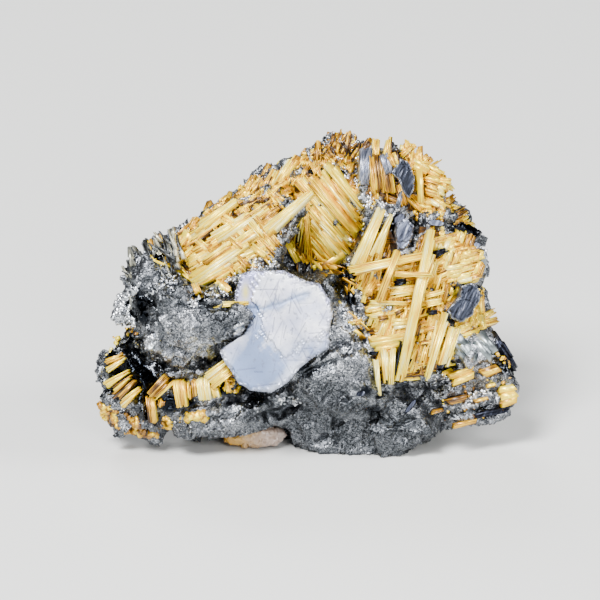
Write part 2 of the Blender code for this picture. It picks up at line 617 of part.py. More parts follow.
def build_dark_plates(parts):
    for plate in DARK_PLATES:
        made = add_object(plate.name, slab(plate.face, plate.outline, plate.top, plate.thickness), parts)
        give_material(made, "hematite_dark", HEMATITE_DARK, 0.6, 0.25)


def build_chip(parts, cutters):
    """The clouded quartz chip, and the room that the matrix leaves for it."""
    across, up, depth, *half_sizes = QUARTZ_CHIP
    centre = seen(across, up, depth)
    made = add_object("quartz_chip", lump(centre, half_sizes, CHIP_POINTS, random.Random(5)), parts)
    give_material(made, "quartz", QUARTZ_CLOUDED, 0.0, 0.3)
    roomy = [size + 2 * GAP for size in half_sizes]
    add_helper("chip_room", lump(centre, roomy, CHIP_POINTS, random.Random(5)), cutters)


def add_platelets(crystals, dice):
    """Small flat crystals over the outside of the lumps, each lying nearly along the surface it grew on."""
    places = list(MATRIX_LUMPS.values())
    for index in range(PLATELET_COUNT):
        across, up, depth, *half_sizes = dice.choice(places)
        angle = dice.uniform(0, math.tau)
        height = dice.uniform(*PLATELET_HEIGHTS)
        ring = math.sqrt(1 - height * height)
        direction = Vector((ring * math.cos(angle), ring * math.sin(angle), height))
        outward = Vector([a * b for a, b in zip(direction, half_sizes)])
        centre = seen(across, up, depth) + outward * PLATELET_SINK
        size = dice.uniform(*PLATELET_SIZE)
        turn = direction.to_track_quat("Z", "Y").to_euler()
        turn.x += dice.uniform(-PLATELET_LEAN, PLATELET_LEAN)
        turn.y += dice.uniform(-PLATELET_LEAN, PLATELET_LEAN)
        sizes = (size, size * dice.uniform(*PLATELET_NARROWING), size * PLATELET_FLATNESS)
        add_helper(f"platelet_{index}", lump(centre, sizes, PLATELET_POINTS, dice, turn), crystals)


def build_matrix(parts, helpers, cutters):
    """The hematite matrix: lumps melted into one rough mass, with crystals on it, and flat where it rests."""
    dice = random.Random(11)
    lumps = new_collection("lumps", helpers)
    crystals = new_collection("matrix_crystals", helpers)
    shapes = [lump(seen(*place), sizes, LUMP_POINTS, dice)
              for place, sizes in ((values[:3], values[3:]) for values in MATRIX_LUMPS.values())]
    made = add_object("hematite_matrix", shapes[0], parts)
    for name, shape in zip(list(MATRIX_LUMPS)[1:], shapes[1:]):
        add_helper("lump_" + name, shape, lumps)
    for index, (across, up, depth, *rest) in enumerate(MATRIX_CRYSTALS):
        turn = Euler([math.radians(angle) for angle in rest[3:]])
        add_helper(f"crystal_{index}", block(seen(across, up, depth), rest[:3], turn), crystals)
    for index, lath in enumerate(FRINGE_LATHS):
        add_helper(f"fringe_{index}", hull_of(lath_corners(FRINGE_FACE, lath)), crystals)
    add_platelets(crystals, dice)

    boolean(made, "UNION", lumps)
    remesh = made.modifiers.new("even_mesh", "REMESH")
    remesh.mode = "VOXEL"
    remesh.voxel_size = GRAIN_VOXEL * MM
    grain = bpy.data.textures.new("grain", "VORONOI")
    grain.noise_scale = GRAIN_SIZE * MM
    grain.distance_metric = "DISTANCE"
    displace = made.modifiers.new("grain", "DISPLACE")
    displace.texture = grain
    displace.texture_coords = "LOCAL"
    displace.strength = GRAIN_HEIGHT * MM
    displace.mid_level = 0.5
    decimate = made.modifiers.new("facets", "DECIMATE")
    decimate.ratio = GRAIN_KEPT_SHARE
    boolean(made, "UNION", crystals)

    table = block(Vector((0, 0, SOLE_STEP - TABLE_HALF_SIZES[2])), TABLE_HALF_SIZES, Euler((0, 0, 0)))
    add_helper("table_cut", table, cutters)
    boolean(made, "DIFFERENCE", cutters)
    sole = new_collection("sole", helpers)
    add_helper("sole_block", upright_block(SOLE_OUTLINE, SOLE_HEIGHT), sole)
    boolean(made, "UNION", sole)
    drop_loose_chips(made)
    give_material(made, "hematite", HEMATITE_GREY, 0.8, 0.4)


def main():
    clear_scene()
    parts = new_collection("rutile_crystal_cluster")
    helpers = new_collection("helpers")
    cutters = new_collection("cutters")
    for group in RUTILE_GROUPS:
        build_rutile_group(group, parts, helpers, cutters)
    build_plate(parts, helpers, cutters)
    build_dark_plates(parts)
    build_chip(parts, cutters)
    build_matrix(parts, helpers, cutters)


main()
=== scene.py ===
"""Rutile crystal cluster: golden rutile laths over grey specular hematite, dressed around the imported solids.

Metres, +Z up, viewer at -Y. Lengths in the sections are millimetres until MM turns them to metres.
"""

import math

import bmesh
import bpy
import numpy as np
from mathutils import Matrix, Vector


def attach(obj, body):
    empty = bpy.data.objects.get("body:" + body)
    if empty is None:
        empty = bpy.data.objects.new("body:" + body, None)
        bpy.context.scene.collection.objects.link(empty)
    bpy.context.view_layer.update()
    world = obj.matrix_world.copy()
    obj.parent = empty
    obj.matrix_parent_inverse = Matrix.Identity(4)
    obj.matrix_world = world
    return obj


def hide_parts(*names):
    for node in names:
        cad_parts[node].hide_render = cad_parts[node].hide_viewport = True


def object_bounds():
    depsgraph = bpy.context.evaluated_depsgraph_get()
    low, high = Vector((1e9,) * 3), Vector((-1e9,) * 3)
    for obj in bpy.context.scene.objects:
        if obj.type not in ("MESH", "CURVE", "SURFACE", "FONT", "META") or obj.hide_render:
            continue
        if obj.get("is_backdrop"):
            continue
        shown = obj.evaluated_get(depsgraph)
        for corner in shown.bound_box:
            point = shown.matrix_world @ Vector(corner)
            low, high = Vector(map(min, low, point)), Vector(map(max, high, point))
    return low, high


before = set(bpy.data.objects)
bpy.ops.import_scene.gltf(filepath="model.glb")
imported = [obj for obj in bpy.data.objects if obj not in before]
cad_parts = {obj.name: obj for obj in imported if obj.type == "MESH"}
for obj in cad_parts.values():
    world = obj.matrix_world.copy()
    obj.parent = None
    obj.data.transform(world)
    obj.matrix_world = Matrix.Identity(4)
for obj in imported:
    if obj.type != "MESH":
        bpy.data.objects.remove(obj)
cad_low, cad_high = (np.array(corner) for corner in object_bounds())

# Hematite matrix. A fused mass of small hematite crystals, grey and metallic, with black glossy faces where
# larger crystals show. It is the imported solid, closed up under the rutile, and broken into tilted grains.
MM = 0.001
SIGHT = math.radians(20.0)
MIDDLE_DEPTH = 2.27
ACROSS = np.array((1.0, 0.0, 0.0))
UPWARD = np.array((0.0, math.sin(SIGHT), math.cos(SIGHT)))
AWAY = np.array((0.0, math.cos(SIGHT), -math.sin(SIGHT)))

LEFT_FACE = ((-8.0, 18.0, -1.6), (-0.25, -0.70, 0.67))
RIDGE_FACE = ((-6.0, 23.2, 4.2), (-0.30, -0.80, 0.52))
HOLLOW_FACE = ((1.0, 21.0, 3.6), (-0.27, -0.95, 0.10))
CREST_FACE = ((3.0, 28.4, 6.9), (-0.15, -0.78, 0.60))
SHOULDER_FACE = ((9.0, 25.5, 2.8), (0.18, -0.88, 0.44))
RIGHT_FACE = ((9.0, 15.0, -2.6), (0.15, -0.93, 0.33))
RIGHT_SLOPE_FACE = ((14.6, 21.4, 6.2), (0.45, -0.50, 0.74))
COMB_FACE = ((-11.5, 5.0, -6.0), (-0.20, -0.96, 0.16))
SPRAY_FACE = ((-18.6, 5.6, -4.4), (-0.30, -0.90, 0.30))
WING_FACE = ((17.2, 4.6, -3.9), (0.20, -0.94, 0.22))
PLATE_FACE = ((-3.0, 10.8, -7.9), (0.02, -0.955, 0.295))
FRINGE_FACE = ((-15.0, 16.5, -1.8), (-0.45, -0.80, 0.40))
BACK_FACE = ((2.0, 16.4, 11.3), (0.08, 0.97, 0.22))

LEFT_BED = ((-13.4, 18.0), (-11.4, 15.6), (-8.0, 16.4), (-4.2, 17.2), (-3.2, 19.6), (-1.2, 22.8), (-4.6, 24.2),
            (-9.0, 23.0), (-12.0, 20.6))
RIDGE_BED = ((-10.2, 21.8), (-7.0, 22.6), (-3.6, 24.2), (-2.3, 25.4), (-2.3, 27.0), (-5.4, 25.2), (-9.6, 22.8))
HOLLOW_BED = ((-1.6, 26.0), (-1.8, 22.0), (-1.8, 18.4), (1.4, 17.0), (4.4, 17.6), (5.4, 20.6), (5.4, 24.0),
              (3.0, 26.2))
CREST_BED = ((0.4, 27.2), (1.2, 29.0), (3.0, 30.0), (5.2, 29.0), (5.8, 27.2), (3.6, 26.6))
SHOULDER_BED = ((6.4, 24.2), (6.4, 28.0), (8.6, 28.8), (11.0, 27.6), (13.0, 26.0), (13.4, 23.4), (10.6, 22.8))
RIGHT_BED = ((5.0, 16.4), (7.2, 21.4), (8.2, 21.2), (8.5, 18.2), (11.0, 18.3), (11.4, 21.2), (12.8, 21.0),
             (16.8, 19.0), (17.4, 16.3), (14.7, 15.8), (13.7, 14.2), (13.7, 11.5), (14.8, 11.2), (14.4, 9.0),
             (12.8, 6.6), (9.0, 6.0), (7.2, 5.4), (6.4, 10.4))
RIGHT_SLOPE_BED = ((12.6, 22.0), (13.6, 23.8), (15.8, 22.6), (16.8, 20.6), (14.6, 20.2))
COMB_BED = ((-15.6, 4.6), (-15.0, 2.2), (-12.6, 1.8), (-9.4, 2.6), (-7.9, 5.2), (-8.2, 7.0), (-12.4, 6.2))
SPRAY_BED = ((-20.2, 5.2), (-20.4, 7.6), (-18.4, 8.2), (-17.2, 6.2), (-17.0, 4.4), (-18.6, 3.2))
WING_BED = ((14.6, 2.4), (14.4, 6.0), (17.0, 7.0), (19.2, 7.2), (20.4, 5.2), (20.2, 3.4), (18.2, 2.0))
BACK_BED = ((-5.4, 13.4), (-0.4, 10.8), (5.6, 11.2), (9.8, 14.6), (9.0, 19.4), (4.4, 22.0), (-1.6, 21.0),
            (-5.2, 17.6))

SKIRTS = ((LEFT_FACE, LEFT_BED), (RIDGE_FACE, RIDGE_BED), (HOLLOW_FACE, HOLLOW_BED), (CREST_FACE, CREST_BED),
          (SHOULDER_FACE, SHOULDER_BED), (RIGHT_FACE, RIGHT_BED), (RIGHT_SLOPE_FACE, RIGHT_SLOPE_BED),
          (COMB_FACE, COMB_BED), (SPRAY_FACE, SPRAY_BED), (WING_FACE, WING_BED), (BACK_FACE, BACK_BED))
SKIRT_REACH = 0.75
SKIRT_DROP = 0.18
SKIRT_THICKNESS = 1.4
MERGE_GAP = 0.002
MASS_VOXEL = 0.25
INSIDE_BOX = 0.02
# Grains of the mass, coarse and fine: width, steepest slope and seed. Then the cells that are glossy by chance.
MASS_GRAINS = ((2.3, 0.42, 3), (0.85, 0.5, 7))
GLOSS_CELL, GLOSS_SEED, GLOSS_FROM, GLOSS_STRENGTH = 2.6, 21, 0.9, 0.8

# Black glossy faces of larger crystals, as the viewer sees them: across, up, reach, and strength.
GLOSSY_PLACES = np.array((
    (-19.6, 9.0, 1.3, 0.9), (-17.6, 9.4, 1.4, 0.9), (-19.0, 7.2, 1.4, 1.0), (-17.0, 7.0, 1.7, 1.0),
    (-15.8, 6.2, 1.3, 1.0), (-16.2, 4.7, 1.4, 1.0), (-13.6, 3.6, 1.3, 1.0), (-11.4, 3.7, 0.8, 1.0),
    (-8.0, 5.0, 1.0, 1.0), (-10.0, 5.4, 1.2, 1.0), (15.8, 20.9, 1.6, 1.0), (17.2, 19.6, 1.2, 1.0),
    (20.0, 8.2, 0.9, 1.0), (20.8, 6.8, 0.9, 1.0), (3.7, 14.7, 0.9, 1.0), (17.8, 2.5, 0.8, 0.8),
    (-16.7, 13.4, 1.4, 1.0), (-16.3, 12.3, 1.1, 1.0), (-13.0, 17.7, 1.3, 1.0), (-14.4, 18.4, 1.1, 0.9),
    (-17.0, 14.6, 0.8, 1.0), (-10.5, 14.4, 1.0, 1.0), (5.9, 4.9, 0.6, 1.0), (6.8, 3.0, 0.7, 0.9),
    (10.1, 7.7, 0.7, 1.0), (13.2, 7.2, 0.7, 1.0), (3.2, 15.2, 0.7, 1.0), (4.4, 14.0, 0.7, 1.0),
))
# Creases between the folds and layers of the mass, as lines of the view. They are sunk, and painted shade darkens them
# inside.
CREASES = (
    ((-15.7, 14.1), (-15.0, 13.0), (-14.4, 10.9), (-14.3, 9.6), (-13.7, 9.0), (-12.6, 8.8), (-11.5, 8.5)),
    ((-12.4, 13.6), (-10.5, 13.3), (-8.0, 13.0)),
    ((-5.7, 4.8), (-3.4, 4.4), (-1.3, 5.7), (0.4, 6.8), (2.3, 7.5), (5.2, 9.4)),
    ((-2.7, 2.2), (-2.0, 3.4), (-0.6, 3.3), (0.4, 2.7)),
    ((1.6, 8.6), (3.4, 9.6), (5.3, 10.6)),
    ((-12.9, 2.7), (-9.0, 3.4), (-5.7, 4.3)),
    ((-10.0, 1.9), (-7.6, 2.4), (-4.8, 2.2), (-2.7, 2.9)),
    ((5.9, 3.3), (7.0, 2.2), (8.5, 1.4), (10.6, 2.1)),
    ((13.0, 5.3), (15.5, 6.1), (17.7, 6.6), (19.9, 7.4)),
    ((12.6, 3.5), (16.3, 4.3), (19.4, 5.0)),
    ((14.1, 2.4), (17.0, 2.8), (20.2, 3.3)),
)
CREASE_WIDTH = 0.26
CREASE_DEPTH = 0.42
CREASE_PAINTED_SHADE = 1.3
# Where the mass is finer and duller than elsewhere, and darker or lighter: the same four values.
# Along the bottom of the mass the darker places are painted shade under it.
DARKER_PLACES = np.array((
    (2.5, 2.0, 4.6, 1.0), (8.4, 0.8, 3.8, 1.0), (-3.0, 1.2, 2.6, 0.6), (-18.6, 9.0, 2.6, 0.7), (12.6, 1.0, 2.4, 0.6),
    (-16.0, 18.0, 2.4, 0.5), (-14.4, 14.8, 2.4, 0.8), (-11.6, 15.8, 2.0, 0.7), (-8.6, 12.4, 1.8, 0.7),
))
LIGHTER_PLACES = np.array((
    (-11.4, 10.6, 2.4, 0.6), (-13.2, 10.0, 2.4, 0.6), (-10.6, 9.0, 2.2, 0.6), (4.4, 9.4, 3.2, 0.6),
    (16.6, 9.0, 2.4, 0.8), (-8.6, 3.2, 2.8, 0.4),
))
# How high the front edge of the mass starts over the quartz chip: places across, and the height up at each.
CHIP_GAP = ((-10.4, -9.6, -5.6, -3.2, -1.6, -0.8), (-3.0, 0.1, 0.5, 1.4, 1.0, -3.0))


def seen(across, up, away):
    """The points at those distances across, up and away from the viewer: the sum of the three directions."""
    spot = np.multiply.outer(across, ACROSS) + np.multiply.outer(up, UPWARD) + np.multiply.outer(away, AWAY)
    return spot - (0.0, MIDDLE_DEPTH, 0.0)


def sighted(points):
    """How far across, up and away from the viewer points are: their shares along the three directions."""
    moved = points + (0.0, MIDDLE_DEPTH, 0.0)
    return moved @ ACROSS, moved @ UPWARD, moved @ AWAY


def unit(vectors):
    """Vectors divided by their own lengths."""
    return vectors / np.maximum(np.linalg.norm(vectors, axis=-1, keepdims=True), 1e-9)


def on_face(face, across, up, lift=0.0):
    """Where lines of sight meet a face raised by lift: the start plus the share of the normal left to go."""
    (through_across, through_up, depth), looks = face
    normal = unit(np.array(looks))
    through = np.array((through_across, depth - MIDDLE_DEPTH, (through_up - depth * UPWARD[1]) / UPWARD[2]))
    start = seen(across, up, np.zeros_like(across))
    reach = ((through - start) @ normal + lift) / (AWAY @ normal)
    return start + np.multiply.outer(reach, AWAY)


def new_piece(name, points, faces, uv=None, **values):
    """A mesh from whole arrays of points in millimetres and of faces, with a UV map and point values if given."""
    mesh = bpy.data.meshes.new(name)
    if isinstance(faces, np.ndarray):
        corners = faces.shape[1]
        mesh.vertices.add(len(points))
        mesh.loops.add(faces.size)
        mesh.polygons.add(len(faces))
        mesh.polygons.foreach_set("loop_start", np.arange(0, faces.size, corners, dtype=np.int32))
        mesh.loops.foreach_set("vertex_index", faces.ravel().astype(np.int32))
        mesh.vertices.foreach_set("co", (points * MM).ravel().astype(np.float32))
        mesh.update(calc_edges=True)
    else:
        mesh.from_pydata((points * MM).tolist(), [], faces)
    if uv is not None:
        loops = np.zeros(len(mesh.loops), np.int32)
        mesh.loops.foreach_get("vertex_index", loops)
        layer = mesh.uv_layers.new(name="uv")
        layer.data.foreach_set("uv", uv[loops].ravel().astype(np.float32))
    for value_name, value in values.items():
        attribute = mesh.attributes.new(value_name, "FLOAT", "POINT")
        attribute.data.foreach_set("value", value.astype(np.float32))
    mesh.validate()
    piece = bpy.data.objects.new(name, mesh)
    bpy.context.scene.collection.objects.link(piece)
    return piece


def hold(piece, material, slot, *replaced):
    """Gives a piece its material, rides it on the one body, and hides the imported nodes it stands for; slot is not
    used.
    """
    piece.data.materials.clear()
    piece.data.materials.append(material)
    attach(piece, "root")
    if replaced:
        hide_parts(*replaced)


def slab(face, outline, top, thickness, grow=0.0):
    """An outline pushed out from its middle by grow, laid at a height over a face, and again under that."""
    outline = np.array(outline)
    spoke = outline - outline.mean(0)
    grown = outline + unit(spoke) * grow
    upper = on_face(face, grown[:, 0], grown[:, 1]) + unit(np.array(face[1])) * top
    lower = upper - unit(np.array(face[1])) * thickness
    count = len(outline)
    ring = np.arange(count)
    sides = np.stack((ring, (ring + 1) % count, (ring + 1) % count + count, ring + count), 1)
    return np.concatenate((upper, lower)), [ring[::-1].tolist(), (ring + count).tolist()] + sides.tolist()


def cell_noise(points, size, seed):
    """Cells round one jittered centre in each cube of a grid: the offset to the nearest centre, and its dice."""
    spot = points / size
    home = np.floor(spot).astype(np.int64)
    nearest = np.full(len(points), np.inf)
    offset = np.zeros_like(points)
    chosen = np.zeros((len(points), 6))
    steps = np.array((-1, 0, 1))
    for step in np.stack(np.meshgrid(steps, steps, steps), -1).reshape(-1, 3):
        cell = home + step
        mixed = (cell * (73856093, 19349663, 83492791)).sum(1) + seed * 2654435761
        dice = []
        for turn in range(6):
            mixed = (mixed ^ (mixed >> 13)) * 1274126177 + turn * 40503
            mixed &= 0xFFFFFFFF
            dice.append(((mixed ^ (mixed >> 16)) & 0xFFFF) / 65535.0)
        dice = np.stack(dice, 1)
        away = spot - (cell + dice[:, :3])
        distance = (away ** 2).sum(1)
        closer = distance < nearest
        nearest[closer] = distance[closer]
        offset[closer] = away[closer] * size
        chosen[closer] = dice[closer]
    return offset, chosen


def tilted_cells(points, size, tilt, seed):
    """Height of a facet in each cell: the offset from the cell's centre times a slope that is the cell's own."""
    offset, dice = cell_noise(points, size, seed)
    slope = (dice[:, 3:] - 0.5) * 2 * tilt
    return (offset * slope).sum(1)


def packed_form(node):
    """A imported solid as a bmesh, with the corners that its faces share merged."""
    form = bmesh.new()
    form.from_mesh(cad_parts[node].data)
    bmesh.ops.remove_doubles(form, verts=form.verts, dist=MERGE_GAP * MM)
    return form


def remeshed(form, voxel):
    """Points, triangles and point normals, in millimetres, of a form closed up in even cells of a given size."""
    mould_mesh = bpy.data.meshes.new("mould")
    form.to_mesh(mould_mesh)
    form.free()
    mould = bpy.data.objects.new("mould", mould_mesh)
    bpy.context.scene.collection.objects.link(mould)
    even_cells = mould.modifiers.new("even_cells", "REMESH")
    even_cells.mode = "VOXEL"
    even_cells.voxel_size = voxel * MM
    made = mould.evaluated_get(bpy.context.evaluated_depsgraph_get())
    mesh = made.to_mesh()
    mesh.calc_loop_triangles()
    points = np.zeros(len(mesh.vertices) * 3, np.float32)
    normals = np.zeros(len(mesh.vertices) * 3, np.float32)
    triangles = np.zeros(len(mesh.loop_triangles) * 3, np.int32)
    mesh.vertices.foreach_get("co", points)
    mesh.vertices.foreach_get("normal", normals)
    mesh.loop_triangles.foreach_get("vertices", triangles)
    made.to_mesh_clear()
    bpy.data.objects.remove(mould)
    points = (points.reshape(-1, 3) / MM).astype(float)
    return points, triangles.reshape(-1, 3), normals.reshape(-1, 3).astype(float)


def within_box(points):
    """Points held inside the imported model's box."""
    return np.clip(points, cad_low / MM + INSIDE_BOX, cad_high / MM - INSIDE_BOX)


def place_strength(places, across, up):
    """How strongly places of a given reach cover points: for each, one less the squared distance over the reach."""
    centre, reach, weight = places[:, :2], places[:, 2], places[:, 3]
    gap = (across[:, None] - centre[:, 0]) ** 2 + (up[:, None] - centre[:, 1]) ** 2
    return (np.clip(1.35 - gap / reach ** 2, 0, 1) * weight).max(1)


def edge_distance(outline, across, up, closed=True):
    """How far points are from the nearest side of an outline: the length to the nearest point of each side."""
    start = np.array(outline)
    end = np.roll(start, -1, 0)
    if not closed:
        start, end = start[:-1], end[:-1]
    spot = np.stack((across, up), -1)[:, None, :]
    side = end - start
    share = np.clip(((spot - start) * side).sum(-1) / (side ** 2).sum(-1), 0, 1)
    return np.linalg.norm(spot - start - side * share[..., None], axis=-1).min(1)


form = packed_form("hematite_matrix")
for face, bed in SKIRTS:
    skirt_points, skirt_faces = slab(face, bed, -SKIRT_DROP, SKIRT_THICKNESS, SKIRT_REACH)
    corners = [form.verts.new(point) for point in skirt_points * MM]
    skirt = [form.faces.new([corners[index] for index in loop]) for loop in skirt_faces]
    bmesh.ops.recalc_face_normals(form, faces=skirt)
mass_points, mass_triangles, mass_normals = remeshed(form, MASS_VOXEL)

rise = sum(tilted_cells(mass_points, *grain) for grain in MASS_GRAINS)
across, up, away = sighted(mass_points)
faces_viewer = np.clip(-(mass_normals @ AWAY) * 3, 0, 1)
darker, lighter = (place_strength(places, across, up) * faces_viewer for places in (DARKER_PLACES, LIGHTER_PLACES))
even = np.maximum(darker, lighter)
gloss_dice = cell_noise(mass_points, GLOSS_CELL, GLOSS_SEED)[1][:, 3]
scattered_gloss = (gloss_dice > GLOSS_FROM) * GLOSS_STRENGTH * (1 - np.clip(2 * even, 0, 1))
glossy = np.maximum(place_strength(GLOSSY_PLACES, across, up) * faces_viewer, scattered_gloss)
crease_gap = np.min([edge_distance(line, across, up, closed=False) for line in CREASES], axis=0)
crease = np.exp(-(crease_gap / CREASE_WIDTH) ** 2) * faces_viewer
rise = rise * (1 - 0.5 * glossy - 0.25 * even) - CREASE_DEPTH * crease
mass_points = mass_points + mass_normals * rise[:, None]
across, up, away = sighted(mass_points)
mass_points[:, 2] += np.maximum(np.interp(across, *CHIP_GAP) - up, 0) / UPWARD[2] * (away < 0)
mass_points = within_box(mass_points)
# The shade value darkens the grey with painted shade in the creases and along the bottom, and shifts it elsewhere.
shade = darker - lighter + CREASE_PAINTED_SHADE * crease


def hex_colour(text):
    """Linear red, green, blue, alpha of an sRGB hex colour: each channel through the sRGB curve."""
    channels = np.array([int(text[index:index + 2], 16) for index in (1, 3, 5)]) / 255
    linear = np.where(channels <= 0.04045, channels / 12.92, ((channels + 0.055) / 1.055) ** 2.4)
    return (*linear.tolist(), 1.0)


def fill(tree, node, inputs):
    """Fills a node's sockets with values or with other nodes' outputs."""
    for socket, value in inputs.items():
        if isinstance(value, bpy.types.NodeSocket):
            tree.links.new(value, node.inputs[socket])
        else:
            node.inputs[socket].default_value = value


def add_node(tree, kind, inputs=None, stops=None, **settings):
    """Adds a shader node, sets its own settings, and fills its sockets with values or other nodes' outputs."""
    node = tree.nodes.new("ShaderNode" + kind)
    for name, value in settings.items():
        setattr(node, name, value)
    if stops:
        ramp = node.color_ramp
        ramp.elements[0].position, ramp.elements[1].position = stops[0][0], stops[-1][0]
        ramp.elements[0].color, ramp.elements[1].color = hex_colour(stops[0][1]), hex_colour(stops[-1][1])
        for position, colour in stops[1:-1]:
            ramp.elements.new(position).color = hex_colour(colour)
    fill(tree, node, inputs or {})
    return node


def new_material(name):
    """An empty material: its node tree and its shader."""
    material = bpy.data.materials.new(name)
    material.use_nodes = True
    tree = material.node_tree
    return material, tree, tree.nodes["Principled BSDF"]


def granular_hematite(name, greys, facet, tilt, roughness):
    """Specular hematite: each cell of a cellular pattern is a crystal with a grey and a slant of its own."""
    material, tree, shader = new_material(name)
    place = add_node(tree, "TexCoord").outputs["Object"]
    cells = add_node(tree, "TexVoronoi", {"Vector": place, "Scale": 1 / (facet * MM)})
    patches = add_node(tree, "TexNoise", {"Vector": place, "Scale": 420.0, "Detail": 3.0})
    own = add_node(tree, "SeparateColor", {"Color": cells.outputs["Color"]})
    lighter = add_node(tree, "Math", {0: own.outputs["Red"], 1: patches.outputs["Fac"]}, operation="ADD")
    halved = add_node(tree, "Math", {0: lighter.outputs[0], 1: 0.5}, operation="MULTIPLY")
    # The shade value shifts the grey; it carries painted shade in the mass's creases and along its bottom, and on the
    # flakes along the bottom.
    shade_part = add_node(tree, "Attribute", attribute_name="shade")
    shade = add_node(tree, "Math", {0: shade_part.outputs["Fac"], 1: -0.16, 2: halved.outputs[0]},
                     operation="MULTIPLY_ADD")
    grey = add_node(tree, "ValToRGB", {"Fac": shade.outputs[0]}, stops=greys)
    glossy_part = add_node(tree, "Attribute", attribute_name="glossy")
    calm_part = add_node(tree, "Attribute", attribute_name="calm")
    black = hex_colour("#14171C")
    base = add_node(tree, "Mix", {"Factor": glossy_part.outputs["Fac"], 6: grey.outputs["Color"], 7: black},
                    data_type="RGBA")
    rough = add_node(tree, "MapRange", {0: glossy_part.outputs["Fac"], 3: roughness, 4: 0.14})
    centred = add_node(tree, "VectorMath", {0: cells.outputs["Color"], 1: (0.5, 0.5, 0.5)}, operation="SUBTRACT")
    calm = add_node(tree, "MapRange", {0: calm_part.outputs["Fac"], 3: tilt, 4: tilt * 0.35})
    slant = add_node(tree, "VectorMath", {0: centred.outputs[0], "Scale": calm.outputs[0]}, operation="SCALE")
    surface = add_node(tree, "NewGeometry")
    turned = add_node(tree, "VectorMath", {0: surface.outputs["Normal"], 1: slant.outputs[0]})
    normal = add_node(tree, "VectorMath", {0: turned.outputs[0]}, operation="NORMALIZE")
    fill(tree, shader, {"Base Color": base.outputs[2], "Roughness": rough.outputs[0], "Metallic": 1.0,
                        "Normal": normal.outputs[0]})
    return material


# Specular hematite in the mass, iron-grey and metallic, broken into crystals a few tenths of a millimetre wide.
MASS_GREYS = ((0.2, "#2A2D30"), (0.42, "#585B60"), (0.6, "#74777C"), (0.74, "#A4A8AE"), (0.86, "#DADDE2"))
mass_hematite = granular_hematite("granular_specular_hematite", MASS_GREYS, 0.11, 0.58, 0.42)
mass = new_piece("hematite_mass", mass_points, mass_triangles, glossy=glossy, calm=np.maximum(glossy, 0.6 * even),
                 shade=shade)
hold(mass, mass_hematite, "hematite_grey", "hematite_matrix")

# Hematite flakes. Loose-looking plates and crumbs of hematite stand on the mass everywhere, each tilted its own
# way, and catch the light as sparkles. They are grown on the mass and sunk part way into it.
FLAKE_COUNT = 15500
FLAKE_SIZE = (0.1, 0.4)
FLAKE_FLATNESS = (0.22, 0.5)
FLAKE_TILT = 0.7
# Places where golden laths cover the mass and few flakes show: across, up, reach and strength.
COVERED_PLACES = np.array((
    (-11.8, 21.2, 1.6, 1.0), (-9.8, 22.6, 1.6, 1.0), (-7.8, 23.8, 1.6, 1.0), (-5.8, 25.2, 1.6, 1.0),
    (-3.8, 26.8, 1.6, 1.0), (-1.8, 28.2, 1.5, 1.0), (-4.8, 23.4, 2.0, 0.8), (12.4, 25.6, 1.8, 0.8),
    (14.2, 23.4, 1.6, 0.8), (16.4, 14.6, 2.0, 0.8), (16.8, 9.4, 1.8, 0.9),
))
dice = np.random.default_rng(41)


def picked_spots(points, triangles, weight, count, dice):
    """Points over a surface, each triangle as often as its area times its weight, and the triangles' normals."""
    a, b, c = (points[triangles[:, index]] for index in range(3))
    cross = np.cross(b - a, c - a)
    area = np.linalg.norm(cross, axis=1) * weight
    chosen = dice.choice(len(triangles), count, p=area / area.sum())
    first, second = np.sqrt(dice.random(count))[:, None], dice.random(count)[:, None]
    spots = a[chosen] * (1 - first) + b[chosen] * first * (1 - second) + c[chosen] * first * second
    return spots, unit(cross[chosen]), chosen


BOX_CORNERS = np.array([(x, y, z) for z in (-1, 1) for y in (-1, 1) for x in (-1, 1)], float)
BOX_FACES = np.array(((0, 2, 3, 1), (4, 5, 7, 6), (0, 1, 5, 4), (2, 6, 7, 3), (0, 4, 6, 2), (1, 3, 7, 5)))


def chips(spots, facing, sizes, dice, uneven=0.3):
    """Closed chips: a box of given half sizes at each spot, turned to its facing, each corner moved a little."""
    count = len(spots)
    spare = unit(dice.normal(size=(count, 3)))
    first = unit(np.cross(facing, spare))
    second = np.cross(facing, first)
    corners = BOX_CORNERS * (1 + uneven * (dice.random((count, 8, 3)) - 0.5)) * sizes[:, None, :]
    axes = np.stack((first, second, facing), 1)
    points = spots[:, None, :] + np.einsum("nck,nkj->ncj", corners, axes)
    faces = BOX_FACES[None] + (np.arange(count) * 8)[:, None, None]
    return points.reshape(-1, 3), faces.reshape(-1, 4)


triangle_gloss, triangle_even, triangle_shade, triangle_crease = (
    value[mass_triangles].mean(1) for value in (glossy, even, darker - lighter, crease))
weight = (1 - 0.97 * triangle_gloss) * (1 - 0.5 * triangle_even) * (1 - 0.95 * triangle_crease)
weight *= 1 - 0.95 * place_strength(COVERED_PLACES, *sighted(mass_points[mass_triangles].mean(1))[:2])
spots, facing, chosen = picked_spots(mass_points, mass_triangles, weight, FLAKE_COUNT, dice)
facing = unit(facing + FLAKE_TILT * dice.normal(size=facing.shape) * 0.6)
size = FLAKE_SIZE[0] + (FLAKE_SIZE[1] - FLAKE_SIZE[0]) * dice.random(FLAKE_COUNT) ** 3
size = size * (1 - 0.35 * triangle_even[chosen])
flat = FLAKE_FLATNESS[0] + (FLAKE_FLATNESS[1] - FLAKE_FLATNESS[0]) * dice.random(FLAKE_COUNT)
half_sizes = np.stack((size * 0.5, size * (0.3 + 0.2 * dice.random(FLAKE_COUNT)), size * flat * 0.5), 1)
flake_points, flake_faces = chips(spots, facing, half_sizes, dice)
# Each flake takes the darker or lighter grey of the mass under it, with the painted shade along the bottom.
flake_shade = np.repeat(triangle_shade[chosen] + dice.uniform(-0.3, 0.3, FLAKE_COUNT), 8)

